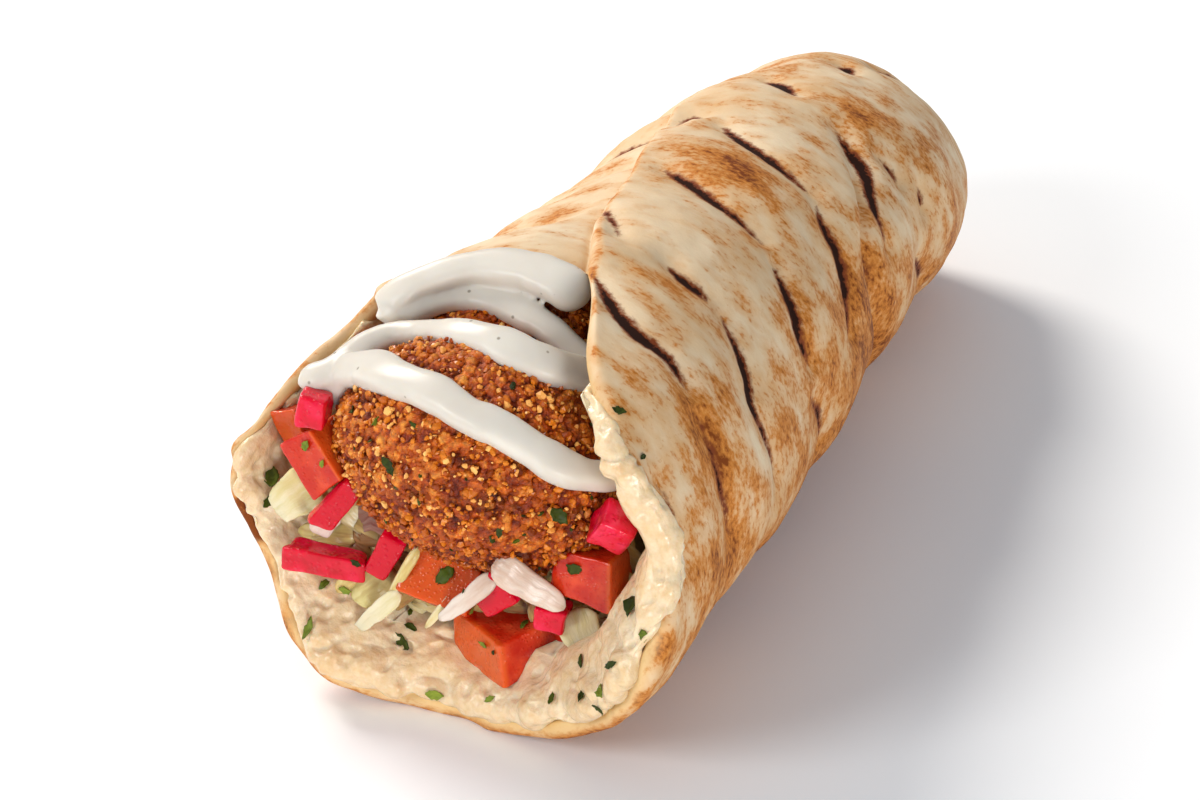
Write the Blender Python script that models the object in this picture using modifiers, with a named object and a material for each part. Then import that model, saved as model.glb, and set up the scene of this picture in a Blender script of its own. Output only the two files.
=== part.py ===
"""Falafel wrap: a griddled flatbread rolled round hummus, salad, two falafels and a white drizzle.

The wrap lies on its underside with its open mouth towards -Y and its tucked tail towards +Y.
World frame: metres, +Z up, the surface it rests on at z = 0, and the origin in the middle of its
footprint box. Sizes below are in millimetres in a drawing frame that an empty shifts to that origin.
"""
import bmesh
import bpy
import numpy as np
from math import radians
from mathutils import Euler, Vector

MM = 0.001

# -- the flatbread -----------------------------------------------------------------------------
# Half width, half height and sideways shift of the roll's oval section at stations along Y.
STATIONS = (-92, -57, -28, 1, 30, 59, 92)
HALF_WIDTHS = (41.9, 38.5, 35.1, 33.3, 31.4, 29.4, 25.0)
HALF_HEIGHTS = (31.4, 33.1, 31.1, 29.5, 28.1, 26.0, 21.4)
SIDE_SHIFTS = (-5.8, -1.8, 0.3, 0.9, 0.4, 1.1, 0.3)
BREAD = 3.2                  # thickness of the bread
BASE_CUT = 0.8               # how far the underside is pressed flat
# The free long edge of the sheet, as an angle round the section from the underside over +X.
FLAP_STATIONS = (-92, -48, -26, -6, 29, 60, 92)
FLAP_ANGLES = (169, 169, 184, 191, 206, 215, 222)
FLAP_LIFT = 0.8              # the outer layer stands proud at its edge
LAYER_SINK = 2.4             # and the layer below it is pressed in
FLAP_FADE = (10, 60)         # the step between the two layers fades between these stations
# The wavy rim of the mouth: ring angle from the flap's corner, and its station along Y.
RIM = ((0, -47), (12, -66), (26, -76), (37, -81), (64, -83), (79, -89), (94, -91.5), (109, -90),
       (129, -86), (169, -80), (199, -82.5), (229, -74.5), (259, -74.5), (267, -73), (271, -68),
       (279, -58), (299, -52), (307, -55), (319, -51), (330, -46), (345, -45), (360, -47))
TAIL_FROM = 83               # the roll starts to close here
TAIL_END = 98                # and ends here
TAIL_ROUNDING = 3.0          # exponent of the closing curve: 2 is an ellipse, more is blunter
TAIL_PLEAT = 0.05            # depth of the tail's folds against its radius
# A slanting crease where the outer layer pulls tight: its station at angles of the section.
CREASE_ANGLES = (50, 81, 104, 121, 137, 160)
CREASE_STATIONS = (24, 19, 16, 20, 34, 50)
CREASE = (4.0, 1.6)          # its half width and depth

# -- the filling -------------------------------------------------------------------------------
GAP = 0.35                   # clearance between touching pieces
HUMMUS = 7.0                 # thickness of the hummus lining
HUMMUS_LIP = 0.8             # its thickness where it runs out
HUMMUS_ANGLES = (-98, 128)   # the arc that it lines, angles as for the flap
HUMMUS_SLOPE = 9             # length over which its front face slopes in
FILL_END = 78                # the filling reaches to this station
SALAD_FRONT = -67            # the salad's front face
SALAD_LOW = 17               # its height at the mouth, under the falafels
SALAD_SLACK = 1.6            # room for the lining's lumps
SALAD_RISE = (-45, -8)       # it rises to the roll's top between these stations

BREAD_COLUMNS = 44
BREAD_ROWS = 20
FILL_COLUMNS = 20

# Falafels: centre, half sizes and turn about X, Y and Z in degrees.
FALAFELS = {
    "falafel_front": ((-2.6, -68.0, 40.3), (23.0, 16.0, 17.4), (0, 8, 0)),
    "falafel_back": ((-5.5, -44.5, 40.5), (23.5, 16.0, 16.8), (0, 4, 5)),
}
FALAFEL_LUMP = 0.035         # unevenness against the half size

# Diced tomato and turnip sticks: centre, edge lengths and turn about X, Y and Z in degrees.
DICE = {
    "tomato_a": ((-27.0, -74.0, 38.0), (7.5, 6.5, 9.5), (-10, -38, 5)),
    "tomato_b": ((-8.0, -70.5, 18.2), (9.5, 7.5, 7.5), (-35, 12, 0)),
    "tomato_c": ((17.8, -74.0, 28.0), (9.0, 7.5, 8.0), (-8, 2, -5)),
    "tomato_d": ((2.8, -72.8, 12.2), (12.5, 10.5, 7.5), (10, 0, -30)),
    "tomato_e": ((13.5, -71.5, 15.2), (5.0, 5.0, 4.0), (0, 10, -20)),
    "tomato_f": ((-35.0, -66.5, 37.5), (5.0, 5.0, 8.0), (-10, -25, 0)),
    "turnip_a": ((-27.4, -75.0, 47.5), (5.5, 5.5, 5.5), (0, 10, 15)),
    "turnip_b": ((-23.3, -77.0, 31.2), (9.5, 4.0, 4.0), (0, -52, 20)),
    "turnip_c": ((-26.2, -75.5, 21.5), (13.0, 4.5, 5.0), (0, 6, 10)),
    "turnip_d": ((-16.6, -73.0, 24.0), (8.5, 4.2, 4.2), (0, -72, 15)),
    "turnip_e": ((22.3, -77.0, 38.3), (6.4, 6.0, 6.4), (20, 30, 20)),
    "turnip_f": ((2.3, -72.5, 21.0), (7.5, 6.0, 6.0), (-10, -30, 10)),
    "turnip_g": ((11.9, -75.0, 20.0), (4.8, 4.8, 4.6), (-5, 8, 5)),
}
DICE_BEVEL = 0.7             # rounding of the dice's edges

# Onion and cabbage strips: centre, length, width, thickness, bend in degrees and turn.
STRIPS = {
    "onion_a": ((8.3, -78.0, 27.0), 10.0, 3.6, 2.6, 15, (50, 27, 10)),
    "onion_b": ((-3.6, -78.3, 18.6), 13.0, 3.4, 2.0, 50, (50, -50, 10)),
    "onion_c": ((-27.8, -73.6, 25.6), 5.4, 3.0, 1.6, 20, (60, 10, 10)),
    "onion_d": ((-21.8, -70.0, 26.5), 8.0, 4.5, 2.0, 20, (50, -5, 20)),
    "cabbage_a": ((-17.8, -79.0, 13.6), 11.0, 2.8, 1.5, 20, (50, -48, 10)),
    "cabbage_b": ((-19.5, -75.5, 16.0), 9.0, 5.0, 1.4, 30, (50, -40, 15)),
    "cabbage_c": ((17.3, -75.0, 17.8), 5.5, 6.0, 1.6, 15, (70, 10, 10)),
    "cabbage_d": ((-33.0, -73.5, 28.6), 5.5, 6.0, 2.0, 20, (70, 5, 10)),
}

# Pieces that the front falafel presses on: it leaves its hollow in them.
PRESSED_BY_FALAFEL = ("tomato_a", "tomato_c", "onion_a", "onion_d", "turnip_a", "turnip_b", "turnip_d",
                      "turnip_e", "turnip_f")

# The drizzle: the middle line of one thick thread laid to and fro, and its section.
SAUCE_PATH = ((6.5, -48, 59.5), (2, -49, 60), (-4.5, -49.5, 61), (-12, -50, 60.5), (-19, -51, 58.5),
              (-24.5, -52.5, 55.5), (-19, -53, 57), (-13, -52, 57), (-5, -52.5, 57.5), (1.5, -53.5, 56),
              (6.5, -54.5, 54), (11, -56, 52.5), (12.5, -58.5, 52), (8.5, -62.5, 55.5), (3, -65, 58),
              (-3.5, -66, 59), (-11, -64.5, 58), (-19, -62.5, 55), (-24.5, -65, 52.5),
              (-28.5, -68, 48.5), (-27, -71.5, 44.5), (-25, -72, 50), (-21, -73, 53.5),
              (-15.5, -75, 55.5), (-7.5, -78, 55.5), (-0.5, -79.5, 54), (6, -80, 52),
              (12, -79, 49.5), (17, -76.5, 46), (20.5, -72.5, 44))
SAUCE_WIDTH = 6.6
SAUCE_HEIGHT = 4.5
SAUCE_STEP = 1.6             # distance between sections along the thread
SAUCE_END = 4.0              # length over which each end rounds off
SAUCE_SWELL = 0.1            # how far its width comes and goes
SAUCE_TILT = (0.05, -0.45, 0.9)   # the way its broad face looks, up and out of the mouth
SAUCE_VOXEL = 2.2            # grain at which crossing threads merge


# -- small tools -------------------------------------------------------------------------------

def through(stations, values, at):
    """Smooth curve through values at rising stations: cubic Hermite, slopes by differences."""
    s = np.asarray(stations, float)
    v = np.asarray(values, float)
    slope = np.gradient(v, s)
    at = np.clip(at, s[0], s[-1])
    i = np.clip(np.searchsorted(s, at) - 1, 0, len(s) - 2)
    span = s[i + 1] - s[i]
    t = (at - s[i]) / span
    start = (1 + 2 * t) * (1 - t) ** 2 * v[i] + t * (1 - t) ** 2 * span * slope[i]
    end = t * t * (3 - 2 * t) * v[i + 1] + t * t * (t - 1) * span * slope[i + 1]
    return start + end


def ease(x):
    """0 to 1 with level ends."""
    x = np.clip(x, 0, 1)
    return x * x * (3 - 2 * x)


def material(name, colour, roughness):
    """Principled material; colour is linear RGB."""
    made = bpy.data.materials.new(name)
    made.use_nodes = True
    shader = made.node_tree.nodes["Principled BSDF"]
    shader.inputs["Base Color"].default_value = (*colour, 1)
    shader.inputs["Roughness"].default_value = roughness
    return made


def add_object(name, mesh, collection, parent, look=None):
    """Link a mesh as a named object under the parent."""
    made = bpy.data.objects.new(name, mesh)
    collection.objects.link(made)
    made.parent = parent
    if look:
        mesh.materials.append(look)
    return made


def mesh_from(name, points, faces, smooth=True):
    """Mesh of points in millimetres, faces turned outwards."""
    mesh = bpy.data.meshes.new(name)
    mesh.from_pydata([tuple(p) for p in np.asarray(points) * MM], [], faces)
    bm = bmesh.new()
    bm.from_mesh(mesh)
    bmesh.ops.recalc_face_normals(bm, faces=bm.faces)
    bm.to_mesh(mesh)
    bm.free()
    if smooth:
        mesh.shade_smooth()
    return mesh


def loft(rings, first, last):
    """Points and faces of closed rings joined in order, with a point closing each end."""
    count = len(rings[0])
    points = np.vstack([np.vstack(rings), [first, last]])
    faces = []
    for r in range(len(rings) - 1):
        for c in range(count):
            d = (c + 1) % count
            faces.append((r * count + c, r * count + d, (r + 1) * count + d, (r + 1) * count + c))
    start, end, tail = len(points) - 2, len(points) - 1, (len(rings) - 1) * count
    for c in range(count):
        d = (c + 1) % count
        faces.append((start, d, c))
        faces.append((end, tail + c, tail + d))
    return points, faces


def solid_between(outer, inner):
    """Points and faces of two equal grids joined along their four borders."""
    rows, columns = outer.shape[:2]
    points = np.vstack([outer.reshape(-1, 3), inner.reshape(-1, 3)])
    half = rows * columns
    faces = []
    for r in range(rows - 1):
        for c in range(columns - 1):
            a = r * columns + c
            quad = (a, a + 1, a + columns + 1, a + columns)
            faces.append(quad)
            faces.append(tuple(half + k for k in reversed(quad)))
    border = [c for c in range(columns)]
    border += [r * columns + columns - 1 for r in range(1, rows)]
    border += [(rows - 1) * columns + c for c in range(columns - 2, -1, -1)]
    border += [r * columns for r in range(rows - 2, 0, -1)]
    for i, a in enumerate(border):
        b = border[(i + 1) % len(border)]
        faces.append((a, half + a, half + b, b))
    return points, faces


def cut_with(target, operand_collection):
    """Cut a collection of cutters out of the target."""
    boolean = target.modifiers.new("sockets", "BOOLEAN")
    boolean.operation = "DIFFERENCE"
    boolean.operand_type = "COLLECTION"
    boolean.collection = operand_collection
    boolean.solver = "EXACT"


def cut_by(target, cutter):
    """Cut one object out of the target."""
    boolean = target.modifiers.new(cutter.name, "BOOLEAN")
    boolean.operation = "DIFFERENCE"
    boolean.object = cutter
    boolean.solver = "EXACT"


def mark_cutter(made):
    """Keep a cutter out of the object."""
    made.hide_render = True
    made.display_type = "WIRE"


# -- the roll ----------------------------------------------------------------------------------

def flap_angle(y):
    return through(FLAP_STATIONS, FLAP_ANGLES, y)


def rim_station(ring):
    """Where the rim of the mouth lies, for a ring angle from the flap's corner."""
    angles, stations = zip(*RIM)
    return through(angles, stations, ring)


def bumps(angle, y):
    """Low unevenness of the bread, in millimetres, fading at the pressed underside."""
    wave = 0.45 * np.sin(3 * angle + 0.045 * y) + 0.35 * np.sin(0.16 * y + 2 * angle)
    return wave * ease((1 - np.cos(angle)) / 0.6)


def crease(angle, y):
    """Depth of the slanting crease, in millimetres."""
    half_width, depth = CREASE
    turn = np.degrees(angle) % 360
    centre = through(CREASE_ANGLES, CREASE_STATIONS, turn)
    side = ease((turn - 45) / 25) * ease((160 - turn) / 40)
    return depth * side * np.exp(-((y - centre) / half_width) ** 2)


def skin(angle, y, depth, shrink=1.0):
    """Point of the roll at an angle (degrees) and station, some depth below its outer face."""
    ring = (flap_angle(y) - angle) % 360
    turn = np.radians(angle)
    width = through(STATIONS, HALF_WIDTHS, y)
    height = through(STATIONS, HALF_HEIGHTS, y) + BASE_CUT / 2
    step = 1 - ease((y - FLAP_FADE[0]) / (FLAP_FADE[1] - FLAP_FADE[0]))
    lift = step * (FLAP_LIFT * (1 - ease(ring / 80)) - LAYER_SINK * ease((ring - 300) / 50))
    relief = (bumps(turn, y) - crease(turn, y)) * (1 - np.clip(depth / BREAD, 0, 1))
    inset = depth - lift - relief
    x = through(STATIONS, SIDE_SHIFTS, y) + shrink * (width - inset) * np.sin(turn)
    z = height - BASE_CUT - shrink * (height - inset) * np.cos(turn)
    return np.stack(np.broadcast_arrays(x, y, np.maximum(z, 0)), -1)


def ring_angles():
    """Ring angles of the bread's columns, the last one just short of the flap's edge."""
    return np.linspace(0, 357.5, BREAD_COLUMNS)


def tail_rings(ring, depth, start, end, count):
    """Rings that close the roll's end, blunt and softly pleated, and the closing point."""
    rings = []
    for t in np.arange(1, count + 1) / (count + 1) * np.pi / 2:
        along = np.sin(t) ** (2 / TAIL_ROUNDING)
        y = start + (end - start) * along
        angle = flap_angle(y) - ring
        pleat = 1 + TAIL_PLEAT * along ** 2 * np.sin(np.radians(5 * angle))
        rings.append(skin(angle, np.full_like(ring, y), depth, np.cos(t) ** (2 / TAIL_ROUNDING) * pleat))
    point = rings[-1].mean(0)
    point[1] = end
    return rings, point


def flatbread_mesh(grow=0.0):
    """The bread's wall, or with grow its clearance on every side."""
    ring = ring_angles()
    rim = rim_station(ring) - grow
    inside = BREAD + grow
    outer_tail, outer_point = tail_rings(ring, -grow, TAIL_FROM, TAIL_END + grow, 6)
    inner_tail, inner_point = tail_rings(ring, inside, TAIL_FROM, TAIL_END - inside, 3)

    def wall(rows, depth):
        made = []
        for v in np.linspace(0, 1, rows):
            y = (rim + BREAD * 0.4) * (1 - v) + TAIL_FROM * v
            made.append(skin(flap_angle(y) - ring, y, depth))
        return made

    edge = skin(flap_angle(rim) - ring, rim, BREAD / 2)
    rings = outer_tail[::-1] + wall(BREAD_ROWS, -grow)[::-1] + [edge] + wall(12, inside) + inner_tail
    points, faces = loft(rings, outer_point, inner_point)
    return mesh_from("flatbread", points, faces)


# -- hummus and salad --------------------------------------------------------------------------

def hummus_depth(angle):
    """Thickness of the lining at an angle: full below, running out at both sides."""
    low, high = HUMMUS_ANGLES
    return HUMMUS_LIP + HUMMUS * ease((angle - low) / 35) * ease((high - angle) / 30)


def hummus_mesh():
    angle = np.linspace(*HUMMUS_ANGLES, FILL_COLUMNS)
    front = rim_station(169 - angle) + 1.5
    outer, inner = [], []
    for v in np.linspace(0, 1, 10) ** 2:
        y = front * (1 - v) + FILL_END * 0.93 * v
        full = ease((y - front) / HUMMUS_SLOPE)
        lump = 0.5 * np.sin(0.15 * angle + 0.5 * y) * full * ease((y + 30) / -20)
        outer.append(skin(angle, y, BREAD + 2 * GAP))
        thick = HUMMUS_LIP + (hummus_depth(angle) - HUMMUS_LIP) * full
        inner.append(skin(angle, y, BREAD + 2 * GAP + thick + lump))
    points, faces = solid_between(np.array(outer), np.array(inner))
    return mesh_from("hummus", points, faces)


def salad_depth(angle):
    """Depth of the salad's outside below the bread's outer face."""
    low, high = HUMMUS_ANGLES
    lined = (angle > low) & (angle < high)
    return BREAD + 3 * GAP + SALAD_SLACK + np.where(lined, hummus_depth(angle), HUMMUS_LIP)


def salad_ring(y, shrink=1.0):
    """Section of the salad: it fills the lining, and is cut off level under the falafels."""
    low, high = SALAD_RISE
    whole = np.linspace(-180, 180, 181)
    reach = skin(whole, np.full_like(whole, y), salad_depth(whole))[:, 2]
    top = min(SALAD_LOW + 45 * ease((y - low) / (high - low)), reach.max() - 1)
    below = whole[reach <= top]
    angle = np.linspace(below.min(), below.max(), FILL_COLUMNS - 5)
    arc = skin(angle, np.full_like(angle, y), salad_depth(angle))
    across = np.linspace(0, 1, 7)[1:-1, None]
    ring = np.vstack([arc, arc[-1] * (1 - across) + arc[0] * across])
    centre = ring.mean(0)
    return centre + (ring - centre) * shrink


def salad_mesh():
    rings = [salad_ring(SALAD_FRONT, 0.72), salad_ring(SALAD_FRONT + 1.5, 0.96)]
    rings += [salad_ring(y) for y in np.linspace(SALAD_FRONT + 6, FILL_END * 0.82, 9)]
    rings += [salad_ring(FILL_END * 0.88, 0.85), salad_ring(FILL_END * 0.93, 0.5)]
    first = rings[0].mean(0) + (0, 3, 0)
    last = rings[-1].mean(0) + (0, 1.5, 0)
    points, faces = loft(rings, first, last)
    return mesh_from("salad_bed", points, faces)


# -- falafels, dice, strips and drizzle --------------------------------------------------------

def falafel_mesh(name, half_sizes, turn, grow=0.0, seed=0.0):
    """Hand-shaped ball: an ellipsoid with slow seeded lumps."""
    bm = bmesh.new()
    bmesh.ops.create_uvsphere(bm, u_segments=20, v_segments=12, radius=1)
    for vertex in bm.verts:
        x, y, z = vertex.co
        lump = np.sin(3.1 * x + 2.3 * z + seed) + np.sin(3.7 * y - 2.9 * x + 2 * seed)
        scale = 1 + FALAFEL_LUMP * lump / 2
        vertex.co = Vector([c * (h * scale + grow) * MM for c, h in zip(vertex.co, half_sizes)])
    bm.transform(Euler([radians(d) for d in turn]).to_matrix().to_4x4())
    mesh = bpy.data.meshes.new(name)
    bm.to_mesh(mesh)
    bm.free()
    mesh.shade_smooth()
    return mesh


def dice_mesh(name, edges, grow=0.0, seed=0):
    """Knife-cut box: a cube with slightly uneven corners and eased edges."""
    random = np.random.default_rng(seed)
    bm = bmesh.new()
    bmesh.ops.create_cube(bm, size=1)
    for vertex in bm.verts:
        uneven = 1 + random.uniform(-0.09, 0.05, 3)
        vertex.co = Vector([c * (e * u + 2 * grow) * MM for c, e, u in zip(vertex.co, edges, uneven)])
    bmesh.ops.bevel(bm, geom=bm.edges[:], offset=DICE_BEVEL * MM, segments=1, affect="EDGES")
    mesh = bpy.data.meshes.new(name)
    bm.to_mesh(mesh)
    bm.free()
    return mesh


def strip_mesh(name, length, width, thickness, bend, grow=0.0):
    """Cut strip bent along its length: an oblong section swept along an arc, its ends eased."""
    arc = radians(bend)
    radius = length / arc
    rings = []
    for u in np.linspace(-0.5, 0.5, 7):
        end = np.sqrt(max(1 - (2 * abs(u)) ** 6, 0.3))
        turn = u * arc
        across = np.array([(-1, 1), (1, 1), (1, -1), (-1, -1)]) / 2
        across = across * ((width + 2 * grow) * end, (thickness + 2 * grow) * end)
        reach = radius + across[:, 1]
        stretch = 1 + 2 * grow / length
        rings.append(np.stack([np.sin(turn) * reach * stretch, across[:, 0],
                               np.cos(turn) * reach - radius], -1))
    points, faces = loft(rings, rings[0].mean(0), rings[-1].mean(0))
    return mesh_from(name, points, faces, smooth=False)


def sauce_points():
    """Middle line of the drizzle, rounded between its points."""
    path = np.array(SAUCE_PATH, float)
    run = np.concatenate([[0], np.cumsum(np.linalg.norm(np.diff(path, axis=0), axis=1))])
    at = np.arange(0, run[-1], SAUCE_STEP)
    return np.stack([through(run, path[:, k], at) for k in range(3)], -1)


def sauce_mesh():
    """Flat thread swept along its line, thick in the middle and round at both ends."""
    line = sauce_points()
    along = np.gradient(line, axis=0)
    along /= np.linalg.norm(along, axis=1)[:, None]
    across = np.cross(along, SAUCE_TILT)
    across /= np.linalg.norm(across, axis=1)[:, None]
    rise = np.cross(across, along)
    place = np.arange(len(line)) * SAUCE_STEP
    to_end = np.minimum(place, place[::-1]) / SAUCE_END
    rounding = np.sqrt(np.clip(1 - (1 - np.minimum(to_end, 1)) ** 2, 0.12, 1))
    swell = 1 + SAUCE_SWELL * np.sin(0.22 * place)
    turn = np.linspace(0, 2 * np.pi, 10, endpoint=False)[:, None]
    rings = []
    for i, middle in enumerate(line):
        sideways = SAUCE_WIDTH / 2 * rounding[i] * swell[i] * np.cos(turn)
        upwards = SAUCE_HEIGHT / 2 * rounding[i] * np.sin(turn)
        rings.append(middle + across[i] * sideways + rise[i] * upwards)
    points, faces = loft(rings, line[0], line[-1])
    return mesh_from("sauce", points, faces)


# -- assembly ----------------------------------------------------------------------------------

def placed(made, centre, turn=(0, 0, 0)):
    """Set an object's place from millimetres and degrees in the drawing frame."""
    made.location = Vector(centre) * MM
    made.rotation_euler = Euler([radians(d) for d in turn])


def build_filling(parts, cutters, origin):
    """Falafels, dice and strips, each with a slightly larger cutter for its socket."""
    crust = material("fried_crust", (0.25, 0.09, 0.025), 0.75)
    tomato = material("tomato", (0.60, 0.06, 0.02), 0.25)
    turnip = material("pickled_turnip", (0.65, 0.01, 0.06), 0.25)
    onion = material("onion", (0.75, 0.68, 0.60), 0.35)
    cabbage = material("cabbage", (0.72, 0.66, 0.38), 0.35)
    for number, (name, (centre, halves, turn)) in enumerate(FALAFELS.items()):
        ball = add_object(name, falafel_mesh(name, halves, turn, 0, number), parts, origin, crust)
        placed(ball, centre)
        cutter_mesh = falafel_mesh(name + "_socket", halves, turn, GAP + 0.15, number)
        cutter = add_object(name + "_socket", cutter_mesh, cutters, origin)
        placed(cutter, centre)
        mark_cutter(cutter)
    cut_by(bpy.data.objects["falafel_front"], bpy.data.objects["falafel_back_socket"])
    for number, (name, (centre, edges, turn)) in enumerate(DICE.items()):
        look = tomato if name.startswith("tomato") else turnip
        die = add_object(name, dice_mesh(name, edges, 0, number), parts, origin, look)
        placed(die, centre, turn)
        cutter_mesh = dice_mesh(name + "_socket", edges, GAP, number)
        cutter = add_object(name + "_socket", cutter_mesh, cutters, origin)
        placed(cutter, centre, turn)
        mark_cutter(cutter)
    for name, (centre, length, width, thickness, bend, turn) in STRIPS.items():
        look = onion if name.startswith("onion") else cabbage
        strip = add_object(name, strip_mesh(name, length, width, thickness, bend), parts, origin, look)
        placed(strip, centre, turn)
        cutter_mesh = strip_mesh(name + "_socket", length, width, thickness, bend, GAP)
        cutter = add_object(name + "_socket", cutter_mesh, cutters, origin)
        placed(cutter, centre, turn)
        mark_cutter(cutter)


def build_sauce(parts, origin, under):
    """The drizzle: its crossing threads merge into one body that lies on the falafels."""
    look = material("white_sauce", (0.78, 0.76, 0.70), 0.35)
    sauce = add_object("sauce", sauce_mesh(), parts, origin, look)
    merge = sauce.modifiers.new("merge", "REMESH")
    merge.mode = "VOXEL"
    merge.voxel_size = SAUCE_VOXEL * MM
    merge.use_smooth_shade = True
    cut_with(sauce, under)


def main():
    for made in list(bpy.data.objects):
        bpy.data.objects.remove(made)
    scene = bpy.context.scene
    parts = bpy.data.collections.new("falafel_wrap")
    cutters = bpy.data.collections.new("cutters")
    under = bpy.data.collections.new("under_the_sauce")
    for collection in (parts, cutters, under):
        scene.collection.children.link(collection)
    origin = bpy.data.objects.new("origin", None)
    parts.objects.link(origin)

    bread_mesh = flatbread_mesh()
    corners = np.array([vertex.co for vertex in bread_mesh.vertices])
    middle = (corners.min(0) + corners.max(0)) / 2
    origin.location = (-middle[0], -middle[1], 0)

    bread = material("flatbread", (0.80, 0.62, 0.40), 0.6)
    paste = material("hummus", (0.78, 0.62, 0.42), 0.45)
    shreds = material("salad", (0.72, 0.62, 0.42), 0.4)
    add_object("flatbread", bread_mesh, parts, origin, bread)
    build_filling(parts, cutters, origin)
    for name, mesh, look in (("hummus", hummus_mesh(), paste), ("salad_bed", salad_mesh(), shreds)):
        cut_with(add_object(name, mesh, parts, origin, look), cutters)
    for name in PRESSED_BY_FALAFEL:
        cut_by(bpy.data.objects[name], bpy.data.objects["falafel_front_socket"])
    clearance = add_object("flatbread_clearance", flatbread_mesh(GAP), cutters, origin)
    mark_cutter(clearance)
    cutters.objects.unlink(clearance)
    under.objects.link(clearance)
    cut_by(bpy.data.objects["tomato_f"], clearance)
    for name in (*FALAFELS, "turnip_a", "tomato_a"):
        under.objects.link(bpy.data.objects[name + "_socket"])
    build_sauce(parts, origin, under)


main()
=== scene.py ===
"""Falafel wrap: the looks of every piece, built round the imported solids.

Sizes and places are millimetres in the drawing frame of the solids: the mouth looks to -Y, the tail
lies at +Y, z = 0 is the table. Angles go round the roll's section from its underside over +X.
"""
import bpy
import numpy as np
from math import cos, radians, sin
from mathutils import Euler, Matrix, Vector
from mathutils.bvhtree import BVHTree


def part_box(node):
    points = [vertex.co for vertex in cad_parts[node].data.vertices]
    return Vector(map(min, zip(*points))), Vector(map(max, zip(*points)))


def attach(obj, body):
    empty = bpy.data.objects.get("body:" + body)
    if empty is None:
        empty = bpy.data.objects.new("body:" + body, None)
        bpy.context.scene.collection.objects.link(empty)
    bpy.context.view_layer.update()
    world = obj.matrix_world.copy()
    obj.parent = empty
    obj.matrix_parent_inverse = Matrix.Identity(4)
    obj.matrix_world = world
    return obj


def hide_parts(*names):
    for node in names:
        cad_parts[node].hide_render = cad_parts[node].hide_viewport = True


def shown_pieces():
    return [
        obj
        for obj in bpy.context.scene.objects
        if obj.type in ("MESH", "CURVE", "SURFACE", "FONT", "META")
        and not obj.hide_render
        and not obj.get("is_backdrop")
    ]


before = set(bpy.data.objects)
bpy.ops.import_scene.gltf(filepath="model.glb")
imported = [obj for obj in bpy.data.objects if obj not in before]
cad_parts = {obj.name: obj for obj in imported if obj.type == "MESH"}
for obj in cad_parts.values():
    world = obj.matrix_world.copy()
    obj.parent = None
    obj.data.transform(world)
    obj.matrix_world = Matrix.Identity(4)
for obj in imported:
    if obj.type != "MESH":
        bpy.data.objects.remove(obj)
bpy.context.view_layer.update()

MM = 0.001

# -- the roll: the same sections as the solids ---------------------------------------------------
STATIONS = (-92, -57, -28, 1, 30, 59, 92)
HALF_WIDTHS = (41.9, 38.5, 35.1, 33.3, 31.4, 29.4, 25.0)
HALF_HEIGHTS = (31.4, 33.1, 31.1, 29.5, 28.1, 26.0, 21.4)
SIDE_SHIFTS = (-5.8, -1.8, 0.3, 0.9, 0.4, 1.1, 0.3)
BREAD = 3.2                  # thickness of the bread
BASE_CUT = 0.8               # how far the underside is pressed flat
FLAP_STATIONS = (-92, -48, -26, -6, 29, 60, 92)
FLAP_ANGLES = (169, 169, 184, 191, 206, 215, 222)
FLAP_LIFT = 0.8
LAYER_SINK = 2.4
FLAP_FADE = (10, 60)
FLAP_ROUNDING = 2.2          # the free edge rolls over within this distance
RIM = ((0, -47), (12, -66), (26, -76), (37, -81), (64, -83), (79, -89), (94, -91.5), (109, -90),
       (129, -86), (169, -80), (199, -82.5), (229, -74.5), (259, -74.5), (267, -73), (271, -68),
       (279, -58), (299, -52), (307, -55), (319, -51), (330, -46), (345, -45), (360, -47))
TAIL_FROM = 83
TAIL_END = 98
TAIL_ROUNDING = 3.0
TAIL_PLEAT = 0.05
CREASE_ANGLES = (50, 81, 104, 121, 137, 160)
CREASE_STATIONS = (24, 19, 16, 20, 34, 50)
CREASE = (3.6, 2.4)
FILL_END = 72                # the filling reaches to this station

# Strokes scorched by the griddle's bars: widest half width, then angle and station of each point.
STROKES = (
    (1.5, ((183, 27), (173, 21), (158, 16), (143, 14))),
    (1.4, ((182, -1), (174, -4), (161, -8), (144, -10))),
    (1.4, ((156, -35), (149, -36), (142, -35))),
    (1.6, ((166, -49), (158, -54), (148, -58), (139, -58), (129, -60))),
    (1.6, ((136, -36), (127, -39), (118, -42), (111, -45), (92, -44))),
    (1.6, ((137, -13), (127, -17), (116, -20), (107, -20))),
    (1.6, ((139, 12), (133, 9), (122, 7), (112, 4), (100, 0))),
    (1.6, ((153, 43), (142, 40), (134, 37), (123, 29), (111, 26))),
    (0.8, ((133, 45), (123, 45))),
    (1.0, ((115, 51), (109, 50))),
    (1.7, ((193, 60), (184, 55), (174, 50))),
    (1.6, ((176, 80), (171, 78))),
    (1.2, ((166, 87), (156, 90), (145, 92))),
    (0.7, ((200, 27), (198, 31), (194, 31))),
    (0.8, ((123, -62), (113, -63), (102, -64), (89, -63))),
    (0.7, ((120, -78), (111, -79), (102, -81))),
    (0.6, ((186, -22), (179, -27), (172, -33))),
    (1.0, ((95, -21), (85, -17), (74, -15))),
    (1.0, ((91, 43), (75, 51))),
)
# On the far side and underneath the bars left the same strokes, one every bar's distance.
BAR_PITCH = 15.0
FAR_STROKES = ((215, 262), (272, 318), (328, 362), (20, 62))     # angles that they run between

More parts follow.
